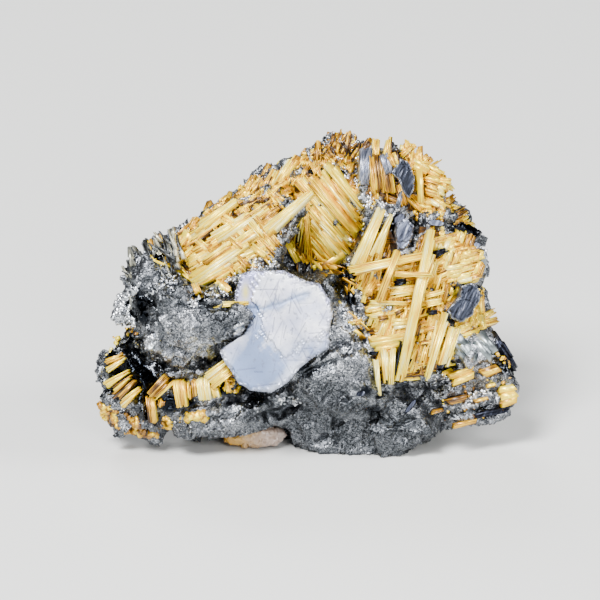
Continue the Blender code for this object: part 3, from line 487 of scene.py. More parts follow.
FLAKE_GREYS = ((0.2, "#2A2D32"), (0.45, "#525559"), (0.65, "#797D83"), (0.85, "#D6D9DE"))
flake_hematite = granular_hematite("flaked_specular_hematite", FLAKE_GREYS, 0.3, 0.35, 0.38)
flakes = new_piece("hematite_flakes", within_box(flake_points), flake_faces, shade=flake_shade)
hold(flakes, flake_hematite, "hematite_grey")

# Rutile lattice on the left. Golden rutile laths, each a bundle of straight striae, cross on a sloping face at
# the angles of rutile's twins. They grew from the hematite under them and stand one over the other.
STRIA = 0.16
BED_THICKNESS = 0.9
# The bed under each lattice is toned near black-brown: painted shade at the foot of its laths.
BED_PAINTED_SHADE_TONE = 0.12


def inside(outline, across, up):
    """Which points are within an outline: a line to the right crosses an odd number of its sides."""
    a1, u1 = np.array(outline).T
    a2, u2 = np.roll(a1, -1), np.roll(u1, -1)
    spans = (u1 > up[:, None]) != (u2 > up[:, None])
    rise = np.where(u2 == u1, 1e-9, u2 - u1)
    crossing = a1 + (up[:, None] - u1) * (a2 - a1) / rise
    return (spans & (across[:, None] < crossing)).sum(1) % 2 == 1


def filling(bed, ways, count, length, width, lift, dice, spread=2.5, overhang=0.5):
    """Rows of laths at random places of a bed, along its own directions, that both begin and end inside it."""
    bed = np.array(bed)
    tries = count * 12
    across, up = (bed.min(0) + (bed.max(0) - bed.min(0)) * dice.random((tries, 2))).T
    angle = np.radians(dice.choice(ways, tries) + dice.uniform(-spread, spread, tries))
    reach = length[0] + (length[1] - length[0]) * dice.random(tries) ** 1.5
    over, above = np.cos(angle), np.sin(angle)
    short = np.maximum(reach - overhang, 0.2)
    fits = inside(bed, across, up) & inside(bed, across + over * short, up + above * short)
    wide = dice.uniform(*width, tries)
    rows = np.stack((across, up, across + over * reach, up + above * reach, wide,
                     wide * dice.uniform(0.7, 1.0, tries), dice.uniform(*lift, tries)), 1)
    return rows[fits][:count]


def bundled(rows, start, end, normal, dice, stria, ragged):
    """Laths divided into striae, spread over the lath's width, with both ends drawn in by a share of their own.

    Gives how many striae each lath has, the lath of each stria, its place across it, its ends and its normal.
    """
    share = np.maximum(1, np.round((rows[:, 4] + rows[:, 5]) / 2 / stria)).astype(int)
    which = np.repeat(np.arange(len(rows)), share)
    count = len(which)
    place = (np.arange(count) - np.repeat(np.cumsum(share) - share, share) + 0.5) / share[which] - 0.5
    start, end, normal = start[which], end[which], normal[which]
    along = unit(end - start)
    side = unit(np.cross(along, normal))
    start = start + side * (place * rows[which, 4])[:, None]
    end = end + side * (place * rows[which, 5])[:, None]
    most = np.minimum(np.linalg.norm(end - start, axis=1) * 0.3, ragged * 2)
    start = start + along * (dice.random(count) ** 3 * most)[:, None]
    end = end - along * (dice.random(count) ** 3 * most)[:, None]
    return share, which, place, start, end, normal


def striae(rows, face, dice, tone=0.7, stria=STRIA, ragged=0.5, drop=0.22, foot=0.3, depth=None):
    """Laths as bundles of straight prisms: each stria has its own height, ends, slant, width and tone."""
    rows = np.array(rows, float)
    across1, up1, across2, up2, width1, width2, lift = rows.T
    normal = np.tile(unit(np.array(face[1])), (len(rows), 1))
    share, which, place, start, end, normal = bundled(
        rows, on_face(face, across1, up1, lift), on_face(face, across2, up2, lift), normal, dice, stria, ragged)
    count = len(which)
    fall = dice.random(count) * drop + np.abs(place) * 0.12
    start = start - normal * fall[:, None]
    end = end - normal * (fall + dice.uniform(-0.06, 0.06, count))[:, None]
    deep = lift[which] + foot if depth is None else np.full(count, depth)
    own = np.repeat(dice.uniform(-0.24, 0.2, len(rows)), share)
    bright = np.clip(tone + own + dice.normal(0, 0.15, count), 0, 1)
    wide1, wide2 = (width[which] / share[which] * dice.uniform(0.85, 1.15, count) for width in (width1, width2))
    roll = dice.normal(0, 0.2, count)
    return dict(start=start, end=end, normal=normal, wide1=wide1, wide2=wide2, deep=deep, roll=roll, tone=bright)


def joined(*parts):
    """Several sets of striae as one."""
    return {key: np.concatenate([part[key] for part in parts]) for key in parts[0]}


def prisms(made, dice, ridge=0.1):
    """Striae as closed prisms with a low ridge along the top: five corners carried from one cut end to the other."""
    along = unit(made["end"] - made["start"])
    side = unit(np.cross(along, made["normal"]))
    top = np.cross(side, along)
    cos, sin = np.cos(made["roll"])[:, None], np.sin(made["roll"])[:, None]
    leaning, rising = side * cos + top * sin, top * cos - side * sin
    count = len(along)
    length = np.linalg.norm(made["end"] - made["start"], axis=1)
    points, uv = [], []
    offset = dice.uniform(0, 60, count)
    for sign, centre, wide in ((1, made["start"], made["wide1"]), (-1, made["end"], made["wide2"])):
        slant = dice.uniform(-0.9, 0.9, count) * wide
        cut = dice.uniform(0.1, 0.9, count) * wide
        run = offset + (0 if sign == 1 else length)
        for shift, height, back, seam in ((-0.5, 0.0, 0.0, 0.0), (0.0, ridge, 0.0, 0.5), (0.5, 0.0, 0.0, 1.0),
                                          (0.5, None, 1.0, 1.6), (-0.5, None, 1.0, -0.6)):
            raised = -made["deep"] if height is None else height * wide
            corner = centre + leaning * (shift * wide)[:, None] + rising * raised[:, None]
            if height is None:
                corner = centre + side * (shift * wide)[:, None] - top * made["deep"][:, None]
            corner = corner + along * (sign * (back * -cut * 0.5 + (shift * slant)))[:, None]
            points.append(corner)
            uv.append(np.stack((run, offset * 3.7 + seam * wide), 1))
    points = np.stack(points, 1).reshape(-1, 3)
    uv = np.stack(uv, 1).reshape(-1, 2)
    base = (np.arange(count) * 10)[:, None, None]
    ring = np.arange(5)
    sides = np.stack((ring, ring + 5, (ring + 1) % 5 + 5, (ring + 1) % 5), 1)
    sides = (sides[None] + base).reshape(-1, 4)
    cap = np.array(((0, 1, 2), (0, 2, 3), (0, 3, 4), (7, 6, 5), (8, 7, 5), (9, 8, 5)))
    caps = (cap[None] + base).reshape(-1, 3)
    faces = np.concatenate((sides[:, [0, 1, 2]], sides[:, [0, 2, 3]], caps))
    return points, faces, uv, np.repeat(made["tone"], 10)


def turn_outward(piece):
    """Turns all faces of a closed piece outward."""
    turned = bmesh.new()
    turned.from_mesh(piece.data)
    bmesh.ops.recalc_face_normals(turned, faces=turned.faces)
    turned.to_mesh(piece.data)
    turned.free()


def rutile_piece(name, made, dice, material, *replaced, beds=()):
    """One closed mesh of striae, with the beds that they stand on."""
    points, faces, uv, tone = prisms(made, dice)
    for face, bed in beds:
        bed_points = slab(face, bed, 0.0, BED_THICKNESS)[0]
        count = len(bed)
        bed_points = np.concatenate((bed_points, [bed_points[:count].mean(0), bed_points[count:].mean(0)]))
        ring = np.arange(count)
        ahead = (ring + 1) % count
        bed_faces = np.concatenate((
            np.stack((ring, np.full(count, 2 * count), ahead), 1),
            np.stack((ring + count, ahead + count, np.full(count, 2 * count + 1)), 1),
            np.stack((ring, ahead, ahead + count), 1), np.stack((ring, ahead + count, ring + count), 1)))
        faces = np.concatenate((faces, bed_faces + len(points)))
        points = np.concatenate((points, bed_points))
        uv = np.concatenate((uv, bed_points[:, [0, 2]]))
        tone = np.concatenate((tone, np.full(2 * count + 2, BED_PAINTED_SHADE_TONE)))
    piece = new_piece(name, within_box(points), faces, uv=uv, tone=tone)
    turn_outward(piece)
    hold(piece, material, "rutile", *replaced)


def golden_rutile(name, colours):
    """Rutile: a silky, strongly reflecting crystal, striped finely along its length, pale on top, partly painted
    highlight, amber below, painted shade.
    """
    material, tree, shader = new_material(name)
    run = add_node(tree, "UVMap", uv_map="uv").outputs[0]
    stretched = add_node(tree, "VectorMath", {0: run, 1: (0.35, 8.0, 1.0)}, operation="MULTIPLY")
    lines = add_node(tree, "TexNoise", {"Vector": stretched.outputs[0], "Scale": 1.0, "Detail": 2.0})
    place = add_node(tree, "TexCoord").outputs["Object"]
    clouds = add_node(tree, "TexNoise", {"Vector": place, "Scale": 620.0, "Detail": 2.0})
    own = add_node(tree, "Attribute", attribute_name="tone")
    line_part = add_node(tree, "MapRange", {0: lines.outputs["Fac"], 1: 0.3, 2: 0.7, 3: -0.3, 4: 0.26})
    cloud_part = add_node(tree, "MapRange", {0: clouds.outputs["Fac"], 1: 0.3, 2: 0.7, 3: -0.10, 4: 0.10})
    both = add_node(tree, "Math", {0: line_part.outputs[0], 1: cloud_part.outputs[0]})
    total = add_node(tree, "Math", {0: both.outputs[0], 1: own.outputs["Fac"]}, use_clamp=True)
    colour = add_node(tree, "ValToRGB", {"Fac": total.outputs[0]}, stops=colours)
    relief = add_node(tree, "Bump", {"Height": lines.outputs["Fac"], "Distance": 0.04 * MM, "Strength": 0.8})
    fill(tree, shader, {"Base Color": colour.outputs["Color"], "Normal": relief.outputs[0], "Metallic": 0.4,
                        "Roughness": 0.34, "IOR": 1.8})
    return material


# Golden rutile, silky along its striae: honey to straw on the faces, the palest straw partly painted highlight;
# burnt amber in the depths, painted shade.
RUTILE_COLOURS = ((0.0, "#1A0E02"), (0.18, "#553404"), (0.36, "#B07A04"), (0.54, "#F2BE06"), (0.72, "#FFE01C"),
                  (0.9, "#FFE848"), (1.0, "#FFF6A8"))
rutile = golden_rutile("silky_golden_rutile", RUTILE_COLOURS)

LEFT_LATHS = (
    (-4.1, 20.8, 0.5, 24.8, 1.4, 0.7, 1.9),
    (-7.3, 19.4, -4.6, 21.2, 0.9, 0.8, 1.7),
    (-11.1, 20.8, -7.0, 24.0, 0.6, 0.5, 1.5),
    (-10.1, 19.9, -5.7, 22.5, 0.8, 0.8, 0.9),
    (-8.9, 19.8, -3.9, 23.3, 0.7, 0.7, 1.2),
    (-11.6, 16.0, -5.9, 19.8, 1.2, 0.9, 1.6),
    (-10.3, 17.7, -7.5, 19.6, 0.7, 0.6, 2.0),
    (-11.2, 15.4, -8.1, 17.2, 0.8, 0.5, 1.2),
    (-13.7, 18.3, -12.2, 20.4, 0.5, 1.0, 1.0),
    (-13.0, 17.8, -11.2, 19.3, 0.5, 0.6, 1.0),
    (-8.1, 17.7, -4.4, 19.4, 0.6, 0.6, 1.0),
)
LEFT_CROSS_LATHS = (
    (-5.6, 21.8, -4.5, 20.4, 0.7, 0.6, 2.1),
    (-7.7, 20.2, -6.5, 19.1, 0.5, 0.5, 1.9),
    (-5.5, 19.5, -4.2, 18.4, 0.5, 0.5, 1.6),
    (-11.1, 20.1, -9.9, 19.1, 0.6, 0.6, 1.2),
    (-8.6, 22.4, -7.3, 21.6, 0.9, 0.9, 1.1),
    (-6.9, 18.3, -6.0, 17.4, 0.6, 0.6, 1.3),
)
LEFT_WAYS = (33, -48)


def lattice_layers(bed, face, ways, under, middle, dice, middle_length=(1.4, 4.0), tones=(0.3, 0.55)):
    """The layers below the named laths: a dense amber one on the bed, darkened as painted shade, and a paler one of
    longer laths above.
    """
    low = filling(bed, ways, under, (0.8, 2.6), (0.3, 0.8), (0.05, 0.4), dice)
    mid = filling(bed, ways, middle, middle_length, (0.35, 0.9), (0.4, 1.1), dice)
    return joined(striae(low, face, dice, tone=tones[0]), striae(mid, face, dice, tone=tones[1]))


dice = np.random.default_rng(101)
# The named laths are toned pale, partly painted highlight on top of the lattice; the layers under them darker, painted
# shade.
made = joined(
    lattice_layers(LEFT_BED, LEFT_FACE, LEFT_WAYS, 170, 60, dice, (1.6, 4.4), (0.28, 0.64)),
    striae(LEFT_LATHS, LEFT_FACE, dice, tone=0.9, depth=0.8),
    striae(LEFT_CROSS_LATHS, LEFT_FACE, dice, tone=0.72, depth=0.8),
)
rutile_piece("left_lattice", made, dice, rutile, "rutile_lattice_left", beds=[(LEFT_FACE, LEFT_BED)])

# Rutile on the left skyline. Short blunt laths stand up in a row behind the lattice, coarser and browner than
# it. They are the ends of laths that grew out of the back of the slope.
RIDGE_LATHS = (
    (-5.6, 23.9, -4.4, 25.9, 0.9, 0.7, 0.9),
    (-4.4, 24.4, -3.1, 26.9, 1.0, 0.7, 0.7),
    (-3.4, 24.9, -1.6, 27.9, 0.8, 0.6, 1.0),
    (-7.1, 23.1, -6.1, 25.0, 0.9, 0.7, 0.8),
    (-8.6, 22.5, -7.4, 23.9, 0.8, 0.6, 0.8),
    (-10.1, 21.7, -9.1, 23.1, 0.7, 0.6, 0.6),
    (-2.5, 26.2, -0.9, 28.5, 0.9, 0.6, 0.8),
    (-6.3, 24.0, -5.4, 25.9, 0.6, 0.5, 1.3),
)
dice = np.random.default_rng(102)
made = joined(
    lattice_layers(RIDGE_BED, RIDGE_FACE, (60, 62, 35), 60, 26, dice, (0.8, 1.8)),
    striae(RIDGE_LATHS, RIDGE_FACE, dice, tone=0.6, ragged=0.3),
)
rutile_piece("ridge_laths", made, dice, rutile, "rutile_ridge", beds=[(RIDGE_FACE, RIDGE_BED)])

# Rutile wall of the hollow. A tall face of close golden striae, all slanting one way, with long laths standing
# off it and fine needles fanning down from its upper corner. It is toned amber, painted shade, where it goes down
# into the hollow.
HOLLOW_LATHS = (
    (0.2, 25.9, 4.8, 20.4, 0.9, 0.7, 1.4),
    (1.2, 26.7, 5.0, 21.7, 0.6, 0.5, 1.0),
    (1.9, 27.4, 5.6, 22.9, 0.7, 0.6, 1.3),
    (-0.1, 24.9, 3.8, 20.2, 0.7, 0.6, 0.6),
    (0.2, 21.7, 3.0, 18.3, 0.6, 0.5, 0.9),
    (-0.5, 21.0, 1.7, 18.4, 0.5, 0.5, 0.8),
    (1.2, 22.4, 3.9, 19.2, 0.5, 0.5, 0.6),
)
HOLLOW_STUBS = (
    (-1.9, 19.6, -0.9, 17.6, 0.7, 0.5, 0.9),
    (-1.0, 19.2, 0.0, 17.4, 0.7, 0.5, 1.1),
)
dice = np.random.default_rng(103)
wall = filling(HOLLOW_BED, (-49,), 110, (2.4, 6.5), (0.3, 0.7), (0.1, 0.6), dice, spread=1.5)
fan_count = 46
swing = np.linspace(0, 1, fan_count) + dice.uniform(-0.03, 0.03, fan_count)
needles = np.stack((
    -0.1 + dice.uniform(-0.4, 0.2, fan_count), 23.4 + dice.uniform(-0.8, 0.5, fan_count),
    -2.0 + 2.6 * swing, 20.2 - 2.6 * swing + dice.uniform(-0.8, 0.8, fan_count),
    np.full(fan_count, 0.13), np.full(fan_count, 0.1), 0.7 + dice.uniform(0, 0.9, fan_count)), 1)
made = joined(
    striae(filling(HOLLOW_BED, (-49, 62), 90, (0.8, 2.2), (0.3, 0.7), (0.0, 0.2), dice), HOLLOW_FACE, dice, tone=0.36),
    striae(wall, HOLLOW_FACE, dice, tone=0.7),
    striae(HOLLOW_LATHS, HOLLOW_FACE, dice, tone=0.86),
    striae(HOLLOW_STUBS, HOLLOW_FACE, dice, tone=0.66),
    striae(needles, HOLLOW_FACE, dice, tone=0.56, depth=0.12),
)
rutile_piece("hollow_wall", made, dice, rutile, "rutile_hollow", beds=[(HOLLOW_FACE, HOLLOW_BED)])

# Rutile at the crest. A crumbly top of short golden stubs mixed with grey hematite crumbs. The stubs are what
# is left of laths that broke off.
CREST_LATHS = (
    (2.6, 28.4, 2.9, 30.7, 0.9, 0.7, 0.5),
    (3.8, 28.2, 4.3, 30.5, 0.8, 0.6, 0.7),
    (1.2, 27.6, 1.1, 29.9, 0.8, 0.6, 0.4),
    (5.0, 27.6, 5.4, 29.6, 0.7, 0.6, 0.5),
)
dice = np.random.default_rng(104)
made = joined(
    lattice_layers(CREST_BED, CREST_FACE, (80, 60, -49), 46, 20, dice, (0.6, 1.2), (0.14, 0.28)),
    striae(CREST_LATHS, CREST_FACE, dice, tone=0.32, ragged=0.3),
)
rutile_piece("crest_stubs", made, dice, rutile, "rutile_crest", beds=[(CREST_FACE, CREST_BED)])

# Rutile on the shoulder. Broad striated faces stand nearly upright beside the crest, and square-ended laths
# stack like bricks down the right edge. All of it grew from the hematite shoulder.
SHOULDER_LATHS = (
    (7.5, 24.6, 7.1, 28.4, 1.7, 1.6, 1.2),
    (8.7, 24.6, 8.1, 28.2, 0.6, 0.7, 1.4),
    (9.8, 23.3, 9.2, 25.4, 0.9, 0.8, 1.0),
    (8.0, 27.6, 8.4, 30.2, 0.9, 0.5, 0.7),
    (6.9, 27.6, 7.1, 30.0, 0.8, 0.7, 0.5),
    (9.6, 28.2, 10.6, 29.2, 0.8, 0.6, 0.5),
    (8.5, 28.5, 9.1, 27.2, 0.9, 0.7, 2.3),
)
SHOULDER_BRICKS = (
    (10.8, 27.5, 12.2, 26.8, 0.9, 0.8, 1.1),
    (11.3, 27.2, 11.5, 23.7, 0.6, 0.5, 1.6),
    (12.2, 27.1, 13.5, 26.4, 0.9, 0.8, 0.9),
    (12.0, 26.0, 13.3, 25.6, 1.0, 0.9, 1.2),
    (12.1, 25.0, 13.0, 24.7, 1.1, 1.0, 1.5),
    (13.0, 25.1, 13.9, 24.7, 0.9, 0.8, 0.9),
    (11.5, 23.7, 12.6, 23.3, 0.9, 0.8, 1.1),
    (12.6, 24.0, 13.9, 23.1, 0.9, 0.8, 1.1),
    (10.4, 24.2, 11.6, 22.9, 0.8, 0.7, 0.7),
)
dice = np.random.default_rng(105)
made = joined(
    lattice_layers(SHOULDER_BED, SHOULDER_FACE, (95, -20), 80, 26, dice, (0.8, 1.8), (0.26, 0.46)),
    striae(SHOULDER_LATHS, SHOULDER_FACE, dice, tone=0.56, ragged=0.25),
    striae(SHOULDER_BRICKS, SHOULDER_FACE, dice, tone=0.66, ragged=0.12, stria=0.5),
)
rutile_piece("shoulder_laths", made, dice, rutile, "rutile_shoulder", beds=[(SHOULDER_FACE, SHOULDER_BED)])

# Rutile lattice on the right. The brightest crystals: long flat laths, steep ones over nearly level ones, with
# dark slots between them, and brick-like blocks towards the right edge. They grew on the hematite block.
RIGHT_STEEP_LATHS = (
    (5.1, 17.2, 7.6, 23.0, 1.3, 0.8, 1.6),
    (6.7, 18.2, 8.6, 22.4, 0.8, 0.4, 1.9),
    (7.3, 13.8, 9.2, 18.8, 0.6, 0.6, 2.6),
    (9.4, 5.8, 12.6, 20.9, 0.9, 0.9, 2.7),
    (11.2, 13.9, 12.9, 18.4, 0.5, 0.5, 2.3),
    (13.7, 7.4, 14.9, 11.2, 1.0, 1.2, 1.9),
    (12.0, 5.9, 14.0, 12.6, 0.5, 0.8, 2.1),
    (12.6, 8.1, 13.4, 11.9, 0.8, 0.8, 1.4),
    (8.3, 5.5, 8.2, 9.1, 0.9, 1.5, 1.7),
    (7.3, 4.4, 7.0, 8.0, 0.4, 0.5, 1.3),
    (5.5, 14.9, 6.6, 17.4, 0.8, 0.6, 0.6),
    (6.4, 11.2, 7.4, 13.9, 0.7, 0.6, 0.5),
)
RIGHT_LEVEL_LATHS = (
    (4.2, 16.7, 12.6, 18.5, 1.1, 0.7, 2.2),
    (8.9, 16.5, 12.5, 16.4, 0.5, 0.5, 3.0),
    (8.4, 14.6, 11.3, 15.0, 1.1, 1.0, 1.6),
    (6.5, 13.7, 10.8, 13.5, 0.4, 0.4, 1.4),
    (12.0, 14.3, 13.8, 14.8, 0.5, 0.5, 1.8),
    (12.0, 13.5, 13.6, 13.8, 0.7, 0.6, 1.6),
    (12.2, 19.6, 14.0, 20.1, 0.6, 0.6, 1.5),
)
RIGHT_BLOCKS = (
    (12.7, 17.7, 14.9, 18.9, 1.2, 1.1, 0.9),
    (13.1, 16.1, 15.6, 17.3, 1.4, 1.2, 1.0),
    (14.9, 18.4, 17.2, 18.9, 1.5, 1.2, 0.5),
    (15.6, 16.4, 17.6, 17.7, 1.2, 1.0, 0.4),
    (8.7, 11.5, 10.6, 11.7, 1.1, 1.0, 1.2),
    (6.6, 9.4, 10.2, 10.1, 1.5, 1.2, 1.0),
)
RIGHT_AMBER_LATHS = (
    (5.9, 14.4, 6.9, 15.7, 0.8, 0.7, 1.2),
    (8.9, 12.5, 9.8, 13.0, 0.7, 0.6, 1.2),
    (9.9, 13.9, 10.7, 14.0, 0.5, 0.5, 1.7),
    (11.0, 10.2, 11.4, 11.8, 0.5, 0.4, 1.2),
    (7.2, 12.0, 8.2, 12.2, 0.6, 0.5, 1.2),
    (12.7, 13.2, 13.5, 12.6, 0.5, 0.4, 1.2),
)
BRICK_BED = ((12.6, 15.8), (12.8, 20.4), (16.2, 20.6), (17.4, 19.4), (17.8, 17.6), (17.4, 15.9))
dice = np.random.default_rng(106)
# As on the left, the named laths are toned pale, partly painted highlight, and the under layer darker, painted shade.
made = joined(
    lattice_layers(RIGHT_BED, RIGHT_FACE, (72, 76, 12), 320, 140, dice, (1.8, 4.6), (0.3, 0.64)),
    striae(RIGHT_AMBER_LATHS, RIGHT_FACE, dice, tone=0.24),
    striae(filling(BRICK_BED, (14, 17, 72), 34, (1.0, 2.0), (0.8, 1.2), (0.9, 1.3), dice, overhang=0.1), RIGHT_FACE,
           dice, tone=0.72, stria=0.5, ragged=0.12),
    striae(RIGHT_LEVEL_LATHS, RIGHT_FACE, dice, tone=0.88, depth=1.0),
    striae(RIGHT_STEEP_LATHS, RIGHT_FACE, dice, tone=0.84, depth=1.0),
    striae(RIGHT_BLOCKS, RIGHT_FACE, dice, tone=0.8, stria=0.4, ragged=0.15),
)
rutile_piece("right_lattice", made, dice, rutile, "rutile_lattice_right", beds=[(RIGHT_FACE, RIGHT_BED)])

# Rutile tips beyond the right shoulder. A few blunt golden laths point away up the far slope.
RIGHT_SLOPE_LATHS = (
    (13.4, 23.0, 15.0, 24.4, 0.9, 0.7, 0.5),
    (14.4, 22.2, 16.2, 23.2, 0.9, 0.7, 0.6),
    (15.0, 21.2, 16.9, 21.8, 0.8, 0.7, 0.6),
)
dice = np.random.default_rng(107)
made = joined(
    lattice_layers(RIGHT_SLOPE_BED, RIGHT_SLOPE_FACE, (35, 20), 40, 20, dice, (0.8, 1.8)),
    striae(RIGHT_SLOPE_LATHS, RIGHT_SLOPE_FACE, dice, tone=0.55),
)
rutile_piece("right_slope_laths", made, dice, rutile, "rutile_right_slope",
             beds=[(RIGHT_SLOPE_FACE, RIGHT_SLOPE_BED)])

# Rutile comb and spray at the lower left. Short yellow laths hang side by side like a comb, and thin pointed
# ones spray out at the tip, on black glossy hematite.
COMB_LATHS = (
    (-12.8, 5.8, -12.4, 3.2, 1.2, 1.1, 1.0),
    (-11.7, 5.6, -11.6, 4.0, 0.4, 0.4, 0.8),
    (-11.3, 5.9, -11.1, 4.2, 0.4, 0.4, 0.9),
    (-10.4, 6.0, -10.1, 3.9, 1.4, 1.2, 1.0),
    (-9.2, 5.2, -8.9, 4.1, 0.6, 0.6, 0.8),
    (-9.8, 5.7, -7.7, 7.3, 1.8, 1.7, 1.3),
    (-13.8, 5.9, -15.5, 4.2, 1.4, 1.2, 1.3),
    (-15.6, 4.2, -15.3, 1.6, 0.9, 0.8, 0.8),
    (-14.4, 4.0, -14.5, 3.2, 0.7, 0.6, 0.6),
)
SPRAY_LATHS = (
    (-20.1, 5.4, -17.8, 6.8, 0.8, 0.3, 0.9),
    (-19.4, 4.7, -17.5, 6.3, 0.8, 0.3, 1.0),
    (-19.1, 3.9, -17.1, 5.9, 0.8, 0.3, 0.9),
    (-18.6, 3.4, -16.7, 5.1, 0.9, 0.4, 0.8),
    (-20.1, 7.7, -18.3, 8.4, 0.6, 0.4, 0.7),
    (-19.9, 6.9, -18.1, 8.1, 0.6, 0.4, 0.6),
)
dice = np.random.default_rng(108)
made = striae(COMB_LATHS, COMB_FACE, dice, tone=0.62, ragged=0.2)
rutile_piece("comb_laths", made, dice, rutile, "rutile_comb")
made = striae(SPRAY_LATHS, SPRAY_FACE, dice, tone=0.66)
rutile_piece("spray_laths", made, dice, rutile, "rutile_spray")

# Rutile in the right wing. Flat mustard-gold pieces of rutile lie in the layered hematite of the wing.
WING_LATHS = (
    (14.5, 5.9, 16.7, 6.7, 1.4, 1.1, 0.6),
    (17.6, 6.5, 19.2, 7.1, 0.9, 0.7, 0.65),
    (19.5, 4.2, 21.1, 4.6, 2.1, 1.9, 0.65),
    (14.3, 3.7, 16.0, 4.2, 0.7, 0.6, 0.6),
    (14.8, 1.3, 17.0, 1.8, 0.6, 0.5, 0.45),
    (12.6, 2.7, 13.7, 3.0, 0.35, 0.3, 0.45),
    (16.7, 3.7, 18.2, 4.1, 0.3, 0.3, 0.5),
    (17.9, 5.2, 18.9, 5.5, 0.35, 0.3, 0.5),
)
dice = np.random.default_rng(109)
made = striae(WING_LATHS, WING_FACE, dice, tone=0.46, stria=0.7, ragged=0.12, drop=0.06)
rutile_piece("wing_laths", made, dice, rutile, "rutile_wing")

# Rutile on the back. The same lattice shows on the far side, where the hematite broke away from it.
BACK_LATHS = (
    (-5.0, 14.2, 6.4, 20.8, 1.1, 0.7, 1.2),
    (-3.4, 12.2, 7.8, 18.6, 1.0, 0.8, 0.9),
    (-0.6, 20.6, 0.0, 11.6, 1.0, 0.8, 1.5),
    (4.0, 21.4, 4.6, 12.2, 0.9, 0.7, 1.1),
    (-4.6, 17.8, 7.4, 12.8, 0.8, 0.6, 0.7),
    (-1.8, 20.2, 8.6, 16.0, 0.9, 0.7, 1.4),
    (6.8, 18.4, 10.4, 20.5, 0.9, 0.6, 1.4),
    (-6.6, 12.9, -2.6, 15.2, 0.9, 0.7, 1.2),
    (2.2, 22.8, 3.0, 19.0, 0.8, 0.6, 1.5),
)
BACK_REACH = 1.22
dice = np.random.default_rng(110)
back_bed = np.array(BACK_BED)
over_the_rim = filling(back_bed.mean(0) + (back_bed - back_bed.mean(0)) * BACK_REACH, (30, -25, 87), 120, (1.4, 4.4),
                       (0.35, 0.9), (0.7, 1.3), dice)
made = joined(
    lattice_layers(BACK_BED, BACK_FACE, (30, -25, 87), 320, 90, dice, (1.4, 4.0)),
    striae(over_the_rim, BACK_FACE, dice, tone=0.56),
    striae(BACK_LATHS, BACK_FACE, dice, tone=0.7),
)
rutile_piece("back_lattice", made, dice, rutile, "rutile_back", beds=[(BACK_FACE, BACK_BED)])

# Loose rutile over the upper slopes. Between the lattices the hematite is covered with short golden laths and
# stubs that lean with the nearest lattice. Each lies on the surface and is sunk a little into it.
MAP_STEP = 0.25
MAP_LOW = np.array((-24.0, -4.0))
MAP_COUNT = (192, 144)
MAP_BLUR = 2
STEEPEST = 2.2
MOST_FALL = 1.5


def front_map(points):
    """The nearest surface to the viewer over a grid of the view, holes filled from beside, then averaged."""
    across, up, away = sighted(points)
    column = ((across - MAP_LOW[0]) / MAP_STEP).astype(int)
    row = ((up - MAP_LOW[1]) / MAP_STEP).astype(int)
    far_first = np.argsort(-away)
    nearest = np.full(MAP_COUNT, np.nan)
    nearest[column[far_first], row[far_first]] = away[far_first]
    for _ in range(6):
        beside = np.stack([np.roll(nearest, shift, axis) for axis in (0, 1) for shift in (-1, 1)])
        counted = np.isfinite(beside)
        mean = np.where(counted, beside, 0).sum(0) / np.maximum(counted.sum(0), 1)
        nearest = np.where(np.isnan(nearest) & counted.any(0), mean, nearest)
    smooth = np.where(np.isnan(nearest), np.nanmax(nearest), nearest)
    for _ in range(MAP_BLUR):
        smooth = sum(np.roll(smooth, shift, axis) for axis in (0, 1) for shift in (-1, 0, 1)) / 6
    return smooth


def at_front(across, up, lift=0.0):
    """Points on the front of the specimen at those places of the view, and the way its surface looks there."""
    spot_a, spot_u = (across - MAP_LOW[0]) / MAP_STEP - 0.5, (up - MAP_LOW[1]) / MAP_STEP - 0.5
    column, row = np.floor(spot_a).astype(int), np.floor(spot_u).astype(int)
    part_a, part_u = spot_a - column, spot_u - row
    low = front[column, row] * (1 - part_a) + front[column + 1, row] * part_a
    high = front[column, row + 1] * (1 - part_a) + front[column + 1, row + 1] * part_a
    away = low * (1 - part_u) + high * part_u
    slope_a = np.clip((front[column + 2, row] - front[column - 2, row]) / (4 * MAP_STEP), -STEEPEST, STEEPEST)
    slope_u = np.clip((front[column, row + 2] - front[column, row - 2]) / (4 * MAP_STEP), -STEEPEST, STEEPEST)
    looks = unit(np.multiply.outer(slope_a, ACROSS) + np.multiply.outer(slope_u, UPWARD) - AWAY)
    return seen(across, up, away) + looks * np.reshape(lift, (-1, 1)), looks


def laid(rows, dice, tone=0.6, stria=STRIA, ragged=0.3, drop=0.12, foot=0.35, lean=0.0):
    """Laths laid on the front of the specimen, as bundles: like striae on a face, with the surface's own slope.

    A lath is left out where the surface falls away under it by more than MOST_FALL times its length.
    """
    rows = np.array(rows, float)
    fall_away = (at_front(rows[:, 2], rows[:, 3])[0] - at_front(rows[:, 0], rows[:, 1])[0]) @ AWAY
    rows = rows[np.abs(fall_away) < MOST_FALL * np.hypot(rows[:, 2] - rows[:, 0], rows[:, 3] - rows[:, 1])]
    across1, up1, across2, up2, width1, width2, lift = rows.T
    start, looks1 = at_front(across1, up1, lift)
    end, looks2 = at_front(across2, up2, lift)
    normal = unit(looks1 + looks2 - 2 * lean * AWAY)
    share, which, _, start, end, normal = bundled(rows, start, end, normal, dice, stria, ragged)
    count = len(which)
    fall = dice.random(count) * drop
    own = np.repeat(dice.uniform(-0.14, 0.14, len(rows)), share)
    bright = np.clip(tone + own + dice.normal(0, 0.1, count), 0, 1)
    wide1, wide2 = (width[which] / share[which] * dice.uniform(0.85, 1.2, count) for width in (width1, width2))
    return dict(start=start - normal * fall[:, None], end=end - normal * fall[:, None], normal=normal, wide1=wide1,
                wide2=wide2, deep=lift[which] + foot, roll=dice.normal(0, 0.32, count), tone=bright)


